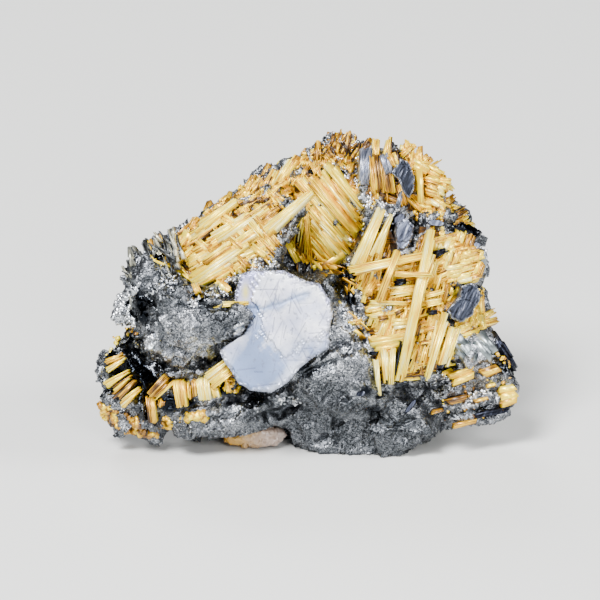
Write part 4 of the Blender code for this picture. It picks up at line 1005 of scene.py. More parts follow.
def zone_spots(outline, count, dice):
    """Random places within a zone of the view: those in the box round it that are inside its outline."""
    outline = np.array(outline)
    across, up = (outline.min(0) + (outline.max(0) - outline.min(0)) * dice.random((count * 6, 2))).T
    fits = inside(outline, across, up)
    return across[fits][:count], up[fits][:count]


def zone_rows(outline, ways, count, length, width, lift, dice, spread=6.0):
    """Rows of short laths that begin at random places of a zone of the view, along the zone's own directions."""
    across, up = zone_spots(outline, count, dice)
    found = len(across)
    angle = np.radians(dice.choice(ways, found) + dice.uniform(-spread, spread, found))
    reach, wide = dice.uniform(*length, found), dice.uniform(*width, found)
    return np.stack((across, up, across + np.cos(angle) * reach, up + np.sin(angle) * reach, wide,
                     wide * dice.uniform(0.7, 1.0, found), dice.uniform(*lift, found)), 1)


front = front_map(mass_points)
SKYLINE_ZONE = ((-13.6, 19.2), (-11.4, 21.5), (-8.4, 23.7), (-5.2, 25.8), (-2.6, 27.1), (-0.2, 28.5), (1.6, 27.6),
                (-1.0, 24.6), (-4.0, 23.4), (-8.0, 21.8), (-12.0, 18.8))
HOLLOW_RIM_ZONE = ((-0.4, 28.4), (2.0, 30.0), (5.6, 29.4), (6.4, 26.0), (6.6, 22.4), (4.6, 21.4), (3.0, 25.6))
SHOULDER_EDGE_ZONE = ((9.4, 29.0), (12.4, 27.6), (13.8, 25.0), (15.6, 22.8), (13.6, 22.0), (11.6, 24.4), (9.2, 27.4))
RIGHT_EDGE_ZONE = ((12.2, 20.6), (15.6, 19.4), (17.0, 18.0), (17.2, 11.8), (15.6, 10.6), (13.6, 12.0), (12.8, 16.0))
LEFT_END_ZONE = ((-15.6, 17.9), (-12.6, 16.8), (-11.8, 20.2), (-13.4, 20.6), (-15.2, 19.6))
RIGHT_FOOT_ZONE = ((5.0, 16.6), (6.6, 16.2), (7.6, 6.4), (9.4, 5.6), (13.0, 6.4), (14.8, 8.6), (13.4, 10.4),
                   (8.2, 11.0), (6.8, 12.4))
LEFT_FOOT_ZONE = ((-11.8, 15.0), (-9.0, 15.2), (-4.4, 17.6), (-3.2, 19.6), (-5.6, 18.8), (-10.0, 16.6))
FLOOR_ZONE = ((-1.6, 18.6), (-1.2, 16.8), (2.0, 16.4), (5.0, 15.6), (5.4, 18.0), (3.6, 18.4))
PLATE_SIDE_ZONE = ((3.0, 14.8), (6.2, 15.4), (6.8, 11.4), (4.2, 10.6), (3.4, 12.4))
DARK_PLATE_FOOT_ZONE =((14.6, 11.8), (17.6, 12.2), (17.6, 10.9), (15.4, 10.2))
SHORT, LONG = (0.5, 1.7), (1.2, 3.2)
BROAD, THIN, WIRY = (0.25, 0.75), (0.1, 0.24), (0.07, 0.14)
COVER = (
    (SKYLINE_ZONE, (60, 33, -48), 250, SHORT, BROAD, 0.52),
    (HOLLOW_RIM_ZONE, (-49, 80, 55), 110, SHORT, BROAD, 0.38),
    (SHOULDER_EDGE_ZONE, (-20, 35, 95), 110, SHORT, BROAD, 0.54),
    (RIGHT_EDGE_ZONE, (72, 66, 14), 130, SHORT, BROAD, 0.66),
    (RIGHT_FOOT_ZONE, (74, 12), 90, LONG, BROAD, 0.66),
    (LEFT_FOOT_ZONE, (33, -48), 34, SHORT, BROAD, 0.6),
    (FLOOR_ZONE, (-40, -20, 30, 75), 90, LONG, WIRY, 0.4),
    (PLATE_SIDE_ZONE, (-45, 20, 70), 44, SHORT, THIN, 0.5),
    (DARK_PLATE_FOOT_ZONE, (10, 30, 75), 46, SHORT, BROAD, 0.7),
    (LEFT_END_ZONE, (40, 110, -30), 50, SHORT, THIN, 0.6),
)
EDGE_STRIPS = (
    (-10.6, 13.65, -6.1, 13.25, 0.8, 0.4, 0.55),
    (-12.9, 18.4, -11.6, 19.9, 0.35, 0.5, 0.9),
    (-13.3, 17.6, -11.9, 18.6, 0.3, 0.45, 0.8),
    (17.5, 15.2, 17.5, 12.4, 0.5, 0.5, 0.3),
    (17.3, 12.4, 17.8, 11.0, 0.6, 0.5, 0.3),
)
dice = np.random.default_rng(120)
covers = [laid(zone_rows(zone, ways, count, length, width, (0.05, 0.5), dice), dice, tone=tone)
          for zone, ways, count, length, width, tone in COVER]
made = joined(*covers, laid(EDGE_STRIPS, dice, tone=0.78))
rutile_piece("loose_laths", made, dice, rutile)

# Golden grains. Rutile broken to grains lies among the hematite at the crest, along the lower left rim and in
# the wing. Each grain is a chip with its own tone, and is half sunk.
GRAIN_ZONES = (
    (((1.0, 27.6), (2.0, 30.6), (4.4, 30.6), (6.2, 28.6), (5.6, 26.0), (3.4, 26.4)), 90, (0.12, 0.26), 0.36),
    (((2.6, 27.2), (6.2, 27.4), (6.6, 22.0), (4.8, 20.6), (4.0, 24.0)), 60, (0.1, 0.22), 0.44),
    (((-20.2, 8.2), (-19.2, 10.4), (-18.4, 10.0), (-18.2, 7.6), (-19.6, 7.4)), 20, (0.08, 0.24), 0.66),
    (((-18.4, 10.8), (-17.4, 11.4), (-16.4, 9.8), (-16.9, 9.4)), 12, (0.08, 0.18), 0.5),
    (((-20.6, 3.8), (-19.4, 3.2), (-15.2, 1.4), (-14.8, 0.4), (-17.8, 0.6), (-20.4, 2.2)), 230, (0.12, 0.34), 0.42),
    (((-12.9, 1.5), (-10.0, 2.1), (-10.0, 2.9), (-12.6, 2.6)), 60, (0.16, 0.4), 0.62),
    (((-14.4, 1.2), (-13.2, 1.2), (-13.4, 2.3), (-14.2, 2.2)), 26, (0.12, 0.3), 0.4),
    (((-8.8, 5.2), (-6.9, 4.7), (-6.6, 5.8), (-8.2, 7.6), (-9.6, 7.0)), 60, (0.12, 0.3), 0.62),
    (((12.0, 24.0), (14.4, 22.6), (13.2, 21.4), (10.4, 22.0)), 50, (0.12, 0.3), 0.55),
    (((13.6, 1.6), (19.4, 2.4), (21.0, 3.6), (20.6, 6.0), (18.4, 7.4), (14.6, 7.2), (13.4, 4.0)), 60, (0.08, 0.2), 0.42),
    (((14.4, 20.4), (15.6, 20.6), (15.8, 19.6), (14.8, 19.2)), 34, (0.1, 0.26), 0.5),
    (((19.4, 8.8), (20.4, 7.6), (20.0, 7.2), (18.9, 8.6)), 18, (0.1, 0.22), 0.5),
    (((6.4, 9.6), (10.6, 10.0), (10.6, 11.8), (6.4, 11.4)), 90, (0.12, 0.34), 0.62),
    (((5.4, 14.0), (7.0, 13.8), (7.4, 17.0), (5.6, 17.0)), 50, (0.12, 0.3), 0.36),
)


def zone_chips(zones, dice, flatness=0.7, lift=0.05, tilt=0.5):
    """Chips over zones of the front: each zone gives an outline, a count, half sizes from and to, and a tone."""
    all_points, all_faces, all_tones, done = [], [], [], 0
    for outline, count, sizes, tone in zones:
        across, up = zone_spots(outline, count, dice)
        found = len(across)
        spots, looks = at_front(across, up, np.full(found, lift))
        size = dice.uniform(*sizes, found)
        half = np.stack((size, size * dice.uniform(0.5, 0.9, found), size * flatness * dice.uniform(0.6, 1.2, found)), 1)
        points, faces = chips(spots, unit(looks + tilt * dice.normal(size=(found, 3))), half, dice, 0.4)
        all_points.append(points)
        all_faces.append(faces + done)
        all_tones.append(np.repeat(np.clip(tone + dice.normal(0, 0.13, found), 0, 1), 8))
        done += len(points)
    return np.concatenate(all_points), np.concatenate(all_faces), np.concatenate(all_tones)


dice = np.random.default_rng(121)
grain_points, grain_faces, grain_tone = zone_chips(GRAIN_ZONES, dice)
grains = new_piece("golden_grains", within_box(grain_points), grain_faces, uv=grain_points[:, [2, 0]] * 0.2,
                   tone=grain_tone)
hold(grains, rutile, "rutile")

# Bright hematite crumbs. Freshly broken hematite shows as silver crumbs in veins and pockets: over the right
# lattice, across the wing and here and there on the tongue.
CRUMB_ZONES = (
    (((5.0, 23.2), (7.0, 25.0), (9.0, 24.0), (9.2, 22.4), (6.6, 21.6), (5.6, 21.8)), 200, (0.1, 0.26), 0.0),
    (((12.6, 17.6), (15.0, 18.8), (14.8, 19.4), (12.4, 18.4)), 60, (0.1, 0.24), 0.0),
    (((15.8, 3.0), (18.6, 4.0), (18.4, 5.2), (15.6, 4.4)), 120, (0.12, 0.3), 0.0),
    (((12.7, 5.4), (14.2, 5.6), (14.2, 6.6), (12.8, 6.4)), 40, (0.1, 0.24), 0.0),
    (((-11.4, 12.8), (-10.2, 13.0), (-10.6, 14.2), (-11.4, 13.8)), 30, (0.14, 0.32), 0.0),
    (((-7.2, 10.4), (-6.2, 10.8), (-6.4, 11.6), (-7.2, 11.4)), 24, (0.12, 0.3), 0.0),
    (((-3.6, 3.2), (-0.4, 3.6), (-0.6, 4.4), (-3.6, 4.2)), 60, (0.1, 0.24), 0.0),
    (((-18.8, 11.6), (-17.6, 12.0), (-17.4, 13.4), (-18.6, 13.0)), 40, (0.14, 0.3), 0.0),
    (((3.0, 19.4), (4.6, 19.8), (4.8, 21.0), (3.6, 20.8)), 40, (0.12, 0.26), 0.0),
    (((17.2, 17.0), (17.9, 17.2), (17.8, 18.8), (17.3, 18.6)), 30, (0.14, 0.3), 0.0),
    (((1.4, 28.0), (2.2, 30.6), (4.8, 30.4), (6.2, 28.2), (5.4, 26.0), (2.6, 26.4)), 330, (0.1, 0.26), 0.6),
    (((3.0, 26.4), (5.8, 26.6), (6.2, 22.4), (4.8, 21.6), (4.2, 24.2)), 150, (0.1, 0.22), 0.45),
    (((-3.2, 26.4), (-1.4, 28.2), (-0.6, 28.0), (-2.2, 25.6)), 50, (0.12, 0.26), 0.6),
    (((-16.4, 15.7), (-17.1, 15.5), (-18.7, 14.2), (-19.3, 12.2), (-18.6, 11.3), (-16.9, 11.5), (-17.1, 12.1),
      (-18.2, 12.3), (-17.9, 13.8), (-16.8, 14.8)), 130, (0.14, 0.36), 0.2),
    (((-10.4, 14.3), (-7.0, 14.2), (-4.8, 16.8), (-4.4, 18.2), (-6.0, 17.2), (-8.6, 15.9)), 140, (0.1, 0.26), 0.5),
    (((-5.4, 16.9), (-2.6, 17.2), (-3.4, 18.4), (-5.4, 17.8)), 50, (0.12, 0.3), 0.1),
    (((-16.0, 9.0), (-14.9, 9.2), (-15.2, 10.6), (-15.8, 10.0)), 30, (0.16, 0.36), 0.1),
    (((-14.0, 19.4), (-12.4, 20.6), (-11.6, 21.6), (-13.4, 20.9)), 34, (0.12, 0.3), 0.3),
    (((-15.6, 14.6), (-13.6, 16.8), (-12.2, 16.6), (-13.4, 14.4)), 70, (0.1, 0.26), 0.7),
    (((3.2, 14.8), (6.2, 15.2), (6.8, 11.4), (4.4, 10.6), (3.4, 12.4)), 130, (0.1, 0.24), 0.55),
    (((9.4, 8.6), (11.4, 9.0), (11.0, 6.6), (9.6, 6.4)), 60, (0.1, 0.24), 0.4),
)
silver_crumb = granular_hematite("freshly_broken_hematite", ((0.1, "#7E8288"), (0.45, "#B9BDC3"), (0.8, "#F4F6F8")),
                                 0.4, 0.35, 0.3)
# Pockets of crumbs between the laths of the right lattice, above its bed.
POCKET_ZONES = (
    (((7.6, 12.5), (8.7, 12.6), (8.7, 13.8), (7.6, 13.8)), 30, (0.1, 0.22), 0.6),
    (((10.3, 7.8), (11.1, 7.8), (11.2, 9.9), (10.4, 9.9)), 40, (0.1, 0.24), 0.5),
    (((12.6, 18.4), (14.6, 19.2), (14.4, 19.9), (12.6, 19.2)), 34, (0.1, 0.22), 0.3),
)
POCKET_LIFT = 1.2
dice = np.random.default_rng(122)
crumb_points, crumb_faces, crumb_tone = zone_chips(CRUMB_ZONES, dice)
pocket_points, pocket_faces, pocket_tone = zone_chips(POCKET_ZONES, dice, lift=POCKET_LIFT)
crumb_faces = np.concatenate((crumb_faces, pocket_faces + len(crumb_points)))
crumb_points = np.concatenate((crumb_points, pocket_points))
crumb_tone = np.concatenate((crumb_tone, pocket_tone))
crumbs = new_piece("silver_crumbs", within_box(crumb_points), crumb_faces, shade=crumb_tone * 2 - 0.5)
hold(crumbs, silver_crumb, "hematite_silver")

# Coated needles. At the left end rutile needles coated with grey hematite fan up and out, and a ragged loop of
# flakes hangs at their foot.
FRINGE_LATHS = (
    (-15.2, 14.6, -17.6, 19.4, 0.9, 0.4, 0.8),
    (-14.6, 15.6, -16.4, 19.9, 0.8, 0.4, 1.0),
    (-14.0, 16.4, -15.3, 20.3, 0.8, 0.4, 0.9),
    (-15.6, 13.8, -17.9, 17.9, 0.9, 0.4, 0.7),
    (-16.0, 12.8, -18.2, 16.2, 0.8, 0.4, 0.6),
    (-13.0, 16.9, -14.2, 20.4, 0.8, 0.5, 0.7),
    (-16.4, 12.2, -18.6, 14.6, 0.7, 0.4, 0.5),
    (-16.2, 11.4, -18.8, 12.6, 0.7, 0.4, 0.6),
)
FRINGE_BED = ((-12.2, 17.0), (-12.4, 20.9), (-14.8, 20.4), (-16.4, 19.8), (-17.9, 19.1), (-18.3, 17.0), (-17.7, 14.4),
              (-17.9, 12.8), (-16.4, 11.8), (-14.6, 13.6), (-13.0, 15.8))
dice = np.random.default_rng(123)
needles = filling(FRINGE_BED, (96, 108, 120, 134, 150), 120, (1.0, 3.0), (0.24, 0.46), (0.2, 1.3), dice, spread=7.0)
needles[:, 5] *= 0.35
made = joined(striae(FRINGE_LATHS, FRINGE_FACE, dice, tone=0.5, stria=0.22, ragged=1.6, depth=0.5),
              striae(needles, FRINGE_FACE, dice, tone=0.5, stria=0.3, depth=0.4))
points, faces, uv, tone = prisms(made, dice)
coated = new_piece("coated_needles", within_box(points), faces, uv=uv, tone=tone)
turn_outward(coated)

# Rutile needles under a skin of fine hematite: streaked along their length, from near black to cream.
material, tree, shader = new_material("hematite_coated_rutile")
run = add_node(tree, "UVMap", uv_map="uv").outputs[0]
stretched = add_node(tree, "VectorMath", {0: run, 1: (1.2, 9.0, 1.0)}, operation="MULTIPLY")
lines = add_node(tree, "TexNoise", {"Vector": stretched.outputs[0], "Scale": 1.0, "Detail": 3.0})
own = add_node(tree, "Attribute", attribute_name="tone")
toned = add_node(tree, "Math", {0: lines.outputs["Fac"], 1: own.outputs["Fac"]})
halved = add_node(tree, "Math", {0: toned.outputs[0], 1: 0.5}, operation="MULTIPLY")
COATED_GREYS = ((0.32, "#1B1C1C"), (0.43, "#55585A"), (0.51, "#8D8F8A"), (0.6, "#B8B59C"), (0.72, "#F0E9CC"))
colour = add_node(tree, "ValToRGB", {"Fac": halved.outputs[0]}, stops=COATED_GREYS)
relief = add_node(tree, "Bump", {"Height": lines.outputs["Fac"], "Distance": 0.06 * MM, "Strength": 1.0})
fill(tree, shader, {"Base Color": colour.outputs["Color"], "Normal": relief.outputs[0], "Metallic": 0.75,
                    "Roughness": 0.36})
hold(coated, material, "hematite_grey")

# Silver hematite plate. One large flat crystal faces the viewer: a lavender-white terrace over a bluer step,
# scratched along three directions, with a crumbled rim. It is seated in the mass and replaces its plain solid.
PLATE_OUTLINE = (
    (-6.5, 16.5), (-5.4, 16.9), (-2.1, 16.9), (0.2, 15.8), (1.4, 15.6), (2.5, 13.8), (2.8, 12.5), (2.4, 10.9),
    (2.4, 9.1), (0.6, 8.0), (-0.6, 7.0), (-1.7, 5.7), (-3.4, 4.6), (-5.5, 4.8), (-6.8, 5.6), (-7.5, 6.8), (-8.2, 7.7),
    (-8.7, 8.9), (-7.9, 9.4), (-6.2, 10.5), (-5.4, 12.5), (-6.2, 13.2), (-7.2, 13.9), (-7.1, 14.6),
)
PLATE_TERRACE = (
    (-5.0, 16.6), (-2.1, 16.7), (0.1, 15.6), (1.3, 15.3), (2.3, 13.6), (2.6, 12.4), (2.2, 10.9), (1.4, 10.0),
    (0.2, 10.2), (-0.9, 8.9), (-2.5, 8.2), (-3.4, 9.7), (-4.6, 10.2), (-4.4, 12.6), (-5.2, 13.9),
)
PLATE_CRACK = ((-6.1, 13.1), (-4.4, 13.0), (-2.6, 13.5), (-0.9, 14.2), (0.2, 14.5))
PLATE_MIDDLE = (-3.4, 11.4)
PLATE_THICKNESS = 1.0
TERRACE_HEIGHT = 0.12
PLATE_ANGLES = 440
PLATE_RINGS = 84
SCRATCH_WAYS = (-62, 4, 64, 80)
SCRATCH_COUNT = 110


def rim_radius(outline, middle, angles):
    """How far an outline is from its middle at each angle: where a ray crosses the farthest of its sides."""
    corners = np.array(outline) - middle
    side = np.roll(corners, -1, 0) - corners
    ray = np.stack((np.cos(angles), np.sin(angles)), 1)
    across = ray[:, None, 0] * side[None, :, 1] - ray[:, None, 1] * side[None, :, 0]
    across = np.where(np.abs(across) < 1e-9, 1e-9, across)
    reach = (corners[None, :, 0] * side[None, :, 1] - corners[None, :, 1] * side[None, :, 0]) / across
    share = (corners[None, :, 0] * ray[:, None, 1] - corners[None, :, 1] * ray[:, None, 0]) / across
    crossing = np.where((share >= -1e-6) & (share <= 1 + 1e-6) & (reach > 0), reach, 0)
    return crossing.max(1)


def crystal_plate(outline, middle, face, top, thickness, angles, rings, rough, relief):
    """A flat crystal as rings round its middle: top rings, the rim, and the underside; relief gives the height."""
    turn = np.linspace(0, math.tau, angles, endpoint=False)
    radius = rim_radius(outline, middle, turn)
    radius = radius * 0.6 + (np.roll(radius, 1) + np.roll(radius, -1)) * 0.2
    steps = np.arange(angles)
    wander = sum(np.sin(steps * math.tau * wave / angles + wave * 1.7) / wave for wave in (7, 13, 23, 41, 67))
    radius = radius - rough * (0.4 + 0.6 * np.abs(wander) + 0.7 * np.random.default_rng(9).random(angles))
    share = np.concatenate((np.linspace(0, 1, rings + 1)[1:], (1.0, 0.97)))
    depth = np.concatenate((np.zeros(rings), (thickness * 0.5, thickness)))
    across = (middle[0] + np.outer(share, np.cos(turn) * radius)).ravel()
    up = (middle[1] + np.outer(share, np.sin(turn) * radius)).ravel()
    rim_gap = np.outer(1 - share, radius).ravel()
    height, values = relief(across, up, rim_gap)
    lift = top + np.where(np.repeat(depth, angles) > 0, -np.repeat(depth, angles), height)
    normal = unit(np.array(face[1]))
    points = on_face(face, across, up) + normal * lift[:, None]
    centre = on_face(face, np.array([middle[0]] * 2), np.array([middle[1]] * 2))
    centre_height = relief(np.array([middle[0]]), np.array([middle[1]]), np.array([radius.mean()]))[0][0]
    centre = centre + normal * np.array(((top + centre_height,), (top - thickness,)))
    points = np.concatenate((points, centre))
    count = len(across)
    ring_count = len(share)
    place = np.arange(angles)
    ahead = (place + 1) % angles
    inner = (np.arange(ring_count - 1) * angles)[:, None]
    quads = np.stack((inner + place, inner + place + angles, inner + ahead + angles, inner + ahead), -1).reshape(-1, 4)
    faces = np.concatenate((quads[:, [0, 1, 2]], quads[:, [0, 2, 3]],
                            np.stack((np.full(angles, count), place, ahead), 1),
                            np.stack((np.full(angles, count + 1), ahead + count - angles, place + count - angles), 1)))
    values = {key: np.concatenate((value, (value.mean(),) * 2)) for key, value in values.items()}
    return points, faces, values


def signed_inside(outline, across, up):
    """Distance inside an outline, negative outside it."""
    return edge_distance(outline, across, up) * np.where(inside(outline, across, up), 1, -1)


def plate_relief(across, up, rim_gap):
    """The silver plate's top: the terrace's step, low waves, the crack, worn scratches and the crumbled rim."""
    wander = (0.22 * np.sin(2.1 * across + 1.3 * up) + 0.16 * np.sin(4.7 * across - 3.1 * up)
              + 0.10 * np.sin(9.3 * across + 7.7 * up) + 0.07 * np.sin(17.0 * up - 13.0 * across))
    terrace = np.clip(0.5 + (signed_inside(PLATE_TERRACE, across, up) + wander) / 0.4, 0, 1)
    terrace = terrace * terrace * (3 - 2 * terrace)
    crack_gap = edge_distance(PLATE_CRACK, across, up, closed=False)
    crack = np.exp(-(crack_gap / 0.16) ** 2)
    band = np.exp(-((crack_gap + wander * 0.5) / 0.5) ** 2)
    lines = np.random.default_rng(31)
    scratch = np.zeros(len(across))
    starts = np.stack((lines.uniform(-7.6, 2.6, SCRATCH_COUNT), lines.uniform(5.0, 16.6, SCRATCH_COUNT)), 1)
    angle = np.radians(lines.choice(SCRATCH_WAYS, SCRATCH_COUNT) + lines.uniform(-5, 5, SCRATCH_COUNT))
    for start, way, length, weight in zip(starts, angle, lines.uniform(0.5, 2.6, SCRATCH_COUNT),
                                          lines.uniform(0.3, 1.0, SCRATCH_COUNT)):
        run = (across - start[0]) * math.cos(way) + (up - start[1]) * math.sin(way)
        off = (up - start[1]) * math.cos(way) - (across - start[0]) * math.sin(way)
        scratch = np.maximum(scratch, weight * np.exp(-(off / 0.045) ** 2) * ((run > 0) & (run < length)))
    flat = np.stack((across, up, np.zeros_like(across)), 1)
    waves = 0.02 * np.sin(1.1 * across + 0.7 * up) + 0.015 * np.sin(2.3 * up - 1.7 * across)
    crumble = np.clip(1 - rim_gap / 0.45, 0, 1)
    crumbs = tilted_cells(flat, 0.35, 0.9, 8) * crumble - 0.16 * crumble ** 2
    height = TERRACE_HEIGHT * terrace + waves - 0.03 * crack - 0.008 * scratch + crumbs
    stain = np.exp(-(((across + 6.0) / 0.35) ** 2 + ((up - 14.7) / 0.8) ** 2))
    pool = np.clip(1.7 * np.exp(-(((across + 4.9 + wander) / 3.0) ** 2 + ((up - 7.1 + wander) / 2.3) ** 2)), 0, 1)
    left_edge = np.exp(-((across + 5.1 + wander) / 0.8) ** 2) * np.clip(14.0 - up, 0, 1) * np.clip(up - 7.0, 0, 1)
    lower_right = np.exp(-(((across - 0.6 + wander) / 2.1) ** 2 + ((up - 8.9 + wander) / 1.2) ** 2))
    blue = np.clip(pool + 0.8 * left_edge + 0.8 * lower_right + 0.85 * band, 0, 1)
    lavender = np.clip((1 - terrace) * np.clip((up - 12.6) / 1.0, 0, 1), 0, 1)
    values = dict(blue=blue, lavender=lavender, stain=stain, scratch=scratch, crumble=crumble ** 1.5)
    return height, values


points, faces, values = crystal_plate(PLATE_OUTLINE, PLATE_MIDDLE, PLATE_FACE, 0.0, PLATE_THICKNESS, PLATE_ANGLES,
                                      PLATE_RINGS, 0.1, plate_relief)
silver_plate = new_piece("silver_plate", within_box(points), faces, **values)

# Specular hematite, a natural growth face: silver with a lavender cast, satin, bluer on the lower step.
material, tree, shader = new_material("silver_specular_hematite")
place = add_node(tree, "TexCoord").outputs["Object"]
clouds = add_node(tree, "TexNoise", {"Vector": place, "Scale": 700.0, "Detail": 5.0, "Roughness": 0.65})
base = add_node(tree, "ValToRGB", {"Fac": clouds.outputs["Fac"]},
                stops=((0.28, "#B9BCD2"), (0.42, "#DCDDEA"), (0.56, "#EFF0F7"), (0.72, "#FAFAFC")))
patches = add_node(tree, "TexNoise", {"Vector": place, "Scale": 260.0, "Detail": 4.0, "Roughness": 0.7})
mottled = add_node(tree, "MapRange", {0: patches.outputs["Fac"], 1: 0.48, 2: 0.64, 4: 0.55})
pits = add_node(tree, "TexNoise", {"Vector": place, "Scale": 2400.0, "Detail": 2.0})
pitted = add_node(tree, "MapRange", {0: pits.outputs["Fac"], 1: 0.6, 2: 0.7, 4: 0.6})
colour = base.outputs["Color"]
for attribute_name, tint, most in (("mottled", "#9AA3C6", 1.0), ("lavender", "#9496C4", 0.9), ("blue", "#7085AC", 0.95),
                                   ("pitted", "#6E7488", 1.0), ("stain", "#C9BE62", 0.9), ("scratch", "#565B78", 0.95),
                                   ("crumble", "#7A7E8A", 0.85)):
    part = {"mottled": mottled, "pitted": pitted}.get(attribute_name)
    part = (part.outputs[0] if part else
            add_node(tree, "Attribute", attribute_name=attribute_name).outputs["Fac"])
    share = add_node(tree, "Math", {0: part, 1: most}, operation="MULTIPLY")
    mixed = add_node(tree, "Mix", {"Factor": share.outputs[0], 6: colour, 7: hex_colour(tint)}, data_type="RGBA")
    colour = mixed.outputs[2]
relief = add_node(tree, "Bump", {"Height": clouds.outputs["Fac"], "Distance": 0.03 * MM, "Strength": 0.5})
fill(tree, shader, {"Base Color": colour, "Normal": relief.outputs[0], "Metallic": 0.85, "Roughness": 0.42})
hold(silver_plate, material, "hematite_silver", "hematite_plate")

# Dark hematite plates. Three smaller crystals show a smooth blue-black face: a striated blade on the shoulder, a
# disc in the right lattice, and a chipped plate at the right edge.
def dark_relief(way):
    """The height of a dark plate's top: fine ribs along one way, slightly tilted cells, and a chipped rim."""
    def height_at(across, up, rim_gap):
        off = (up * math.cos(way) - across * math.sin(way))
        flat = np.stack((across, up, np.zeros_like(across)), 1)
        ribs = 0.004 * np.sin(off * 21.0) + 0.003 * np.sin(off * 47.0 + across)
        chipped = np.clip(1 - rim_gap / 0.3, 0, 1)
        height = ribs + tilted_cells(flat, 1.3, 0.04, 12) + tilted_cells(flat, 0.3, 0.8, 13) * chipped
        return height - 0.12 * chipped ** 2, dict(nicks=chipped ** 2)
    return height_at


def streaked_hematite(name, greys):
    """Hematite growth faces: fine streaks along one slanted way, and paler nicks where the rim is chipped."""
    material, tree, shader = new_material(name)
    place = add_node(tree, "TexCoord").outputs["Object"]
    along_streaks = add_node(tree, "Mapping", {"Vector": place, "Rotation": (0.0, math.radians(24.0), 0.0),
                                               "Scale": (0.14, 1.0, 1.0)}, vector_type="TEXTURE")
    lines = add_node(tree, "TexNoise", {"Vector": along_streaks.outputs[0], "Scale": 520.0, "Detail": 4.0})
    colour = add_node(tree, "ValToRGB", {"Fac": lines.outputs["Fac"]}, stops=greys)
    nicks = add_node(tree, "Attribute", attribute_name="nicks")
    mixed = add_node(tree, "Mix", {"Factor": nicks.outputs["Fac"], 6: colour.outputs["Color"],
                                   7: hex_colour("#8A8F9E")}, data_type="RGBA")
    relief = add_node(tree, "Bump", {"Height": lines.outputs["Fac"], "Distance": 0.01 * MM, "Strength": 0.5})
    fill(tree, shader, {"Base Color": mixed.outputs[2], "Normal": relief.outputs[0], "Metallic": 0.9,
                        "Roughness": 0.36})
    return material


# Specular hematite again: slate on the plates, lavender-grey on the disc, almost black in the slots between laths.
dark_hematite = streaked_hematite("slate_specular_hematite", ((0.3, "#0D0F14"), (0.46, "#191C24"), (0.6, "#2C303B"),
                                                              (0.76, "#747888")))
lavender_hematite = streaked_hematite("lavender_specular_hematite", ((0.3, "#1E212A"), (0.46, "#3C404E"),
                                                                     (0.6, "#5E6475"), (0.76, "#A4A9B8")))
black_hematite = streaked_hematite("black_specular_hematite", ((0.3, "#0E1016"), (0.5, "#20232E"), (0.62, "#383C4A"),
                                                               (0.76, "#7A7F90")))
DARK_PLATES = (
    ("dark_blade", "hematite_blade_top", SHOULDER_FACE, 2.1, 0.5, 62, dark_hematite,
     ((8.1, 26.4), (8.6, 27.2), (9.1, 27.8), (9.9, 27.4), (10.5, 25.9), (10.4, 24.7), (9.9, 23.7), (9.3, 24.5),
      (8.8, 25.7))),
    ("dark_plate_right", "hematite_plate_right", RIGHT_FACE, 1.2, 2.2, 55, dark_hematite,
     ((16.3, 15.7), (16.9, 15.4), (17.2, 14.6), (17.2, 13.8), (16.6, 13.0), (16.5, 12.4), (15.2, 11.6), (14.2, 12.1),
      (13.9, 12.9), (14.6, 13.7), (15.1, 14.3), (15.3, 15.3))),
    ("dark_disc", "hematite_disc", RIGHT_FACE, 0.1, 1.1, 40, lavender_hematite,
     ((8.7, 20.6), (9.0, 21.6), (10.0, 22.1), (10.8, 21.3), (10.7, 20.2), (10.1, 18.9), (9.1, 18.7))),
)
for name, node, face, top, thickness, way, finish, outline in DARK_PLATES:
    middle = np.array(outline).mean(0)
    points, faces, values = crystal_plate(outline, middle, face, top, thickness, 120, 24, 0.05,
                                          dark_relief(math.radians(way)))
    piece = new_piece(name, within_box(points), faces, **values)
    hold(piece, finish, "hematite_dark", node)

# Larger hematite crystals. A few oval and six-sided platelets lie on the mass and beside the lattices. They are
# single crystals with worn edges, silver, lavender-grey or almost black.
BRIGHT_CRYSTALS = (
    (5.0, 6.2, 0.6, 0.55, 0.2, 8, 5, 10),
    # This crystal, at the right edge of the right lattice, is set there as a painted highlight on that edge.
    (17.4, 17.5, 0.45, 1.2, 0.8, 10, 20, 0),
    (-11.0, 12.0, 0.8, 0.35, 0.25, 10, -12, 62),
    (-6.5, 11.1, 0.45, 0.3, 0.2, 14, 10, 40),
    (-15.2, 9.5, 0.85, 0.4, 0.3, 14, -16, 60),
    (-6.7, 5.2, 0.36, 0.36, 0.3, 10, 10, 5),
)
LAVENDER_CRYSTALS = (
    (8.5, 18.9, 1.3, 0.7, 1.1, 0, 0, 60),
    (9.3, 22.0, 0.8, 0.5, 0.8, 0, 0, 40),
    (12.9, 21.5, 1.0, 0.45, 0.7, 6, 4, -6),
    (16.6, 19.2, 0.8, 0.5, 1.0, 0, 10, 30),
)
DARK_CRYSTALS = (
    (15.1, 8.0, 0.8, 0.5, 0.4, -10, -14, 20),
    (13.3, 7.4, 0.5, 0.4, 0.4, 0, 0, 0),
    (10.4, 3.3, 1.1, 0.3, 0.3, 4, 6, 52),
    (5.4, 4.6, 0.55, 0.35, 0.3, -8, 6, 10),
    (15.6, 20.6, 1.0, 0.6, 0.4, 0, 20, -20),
)


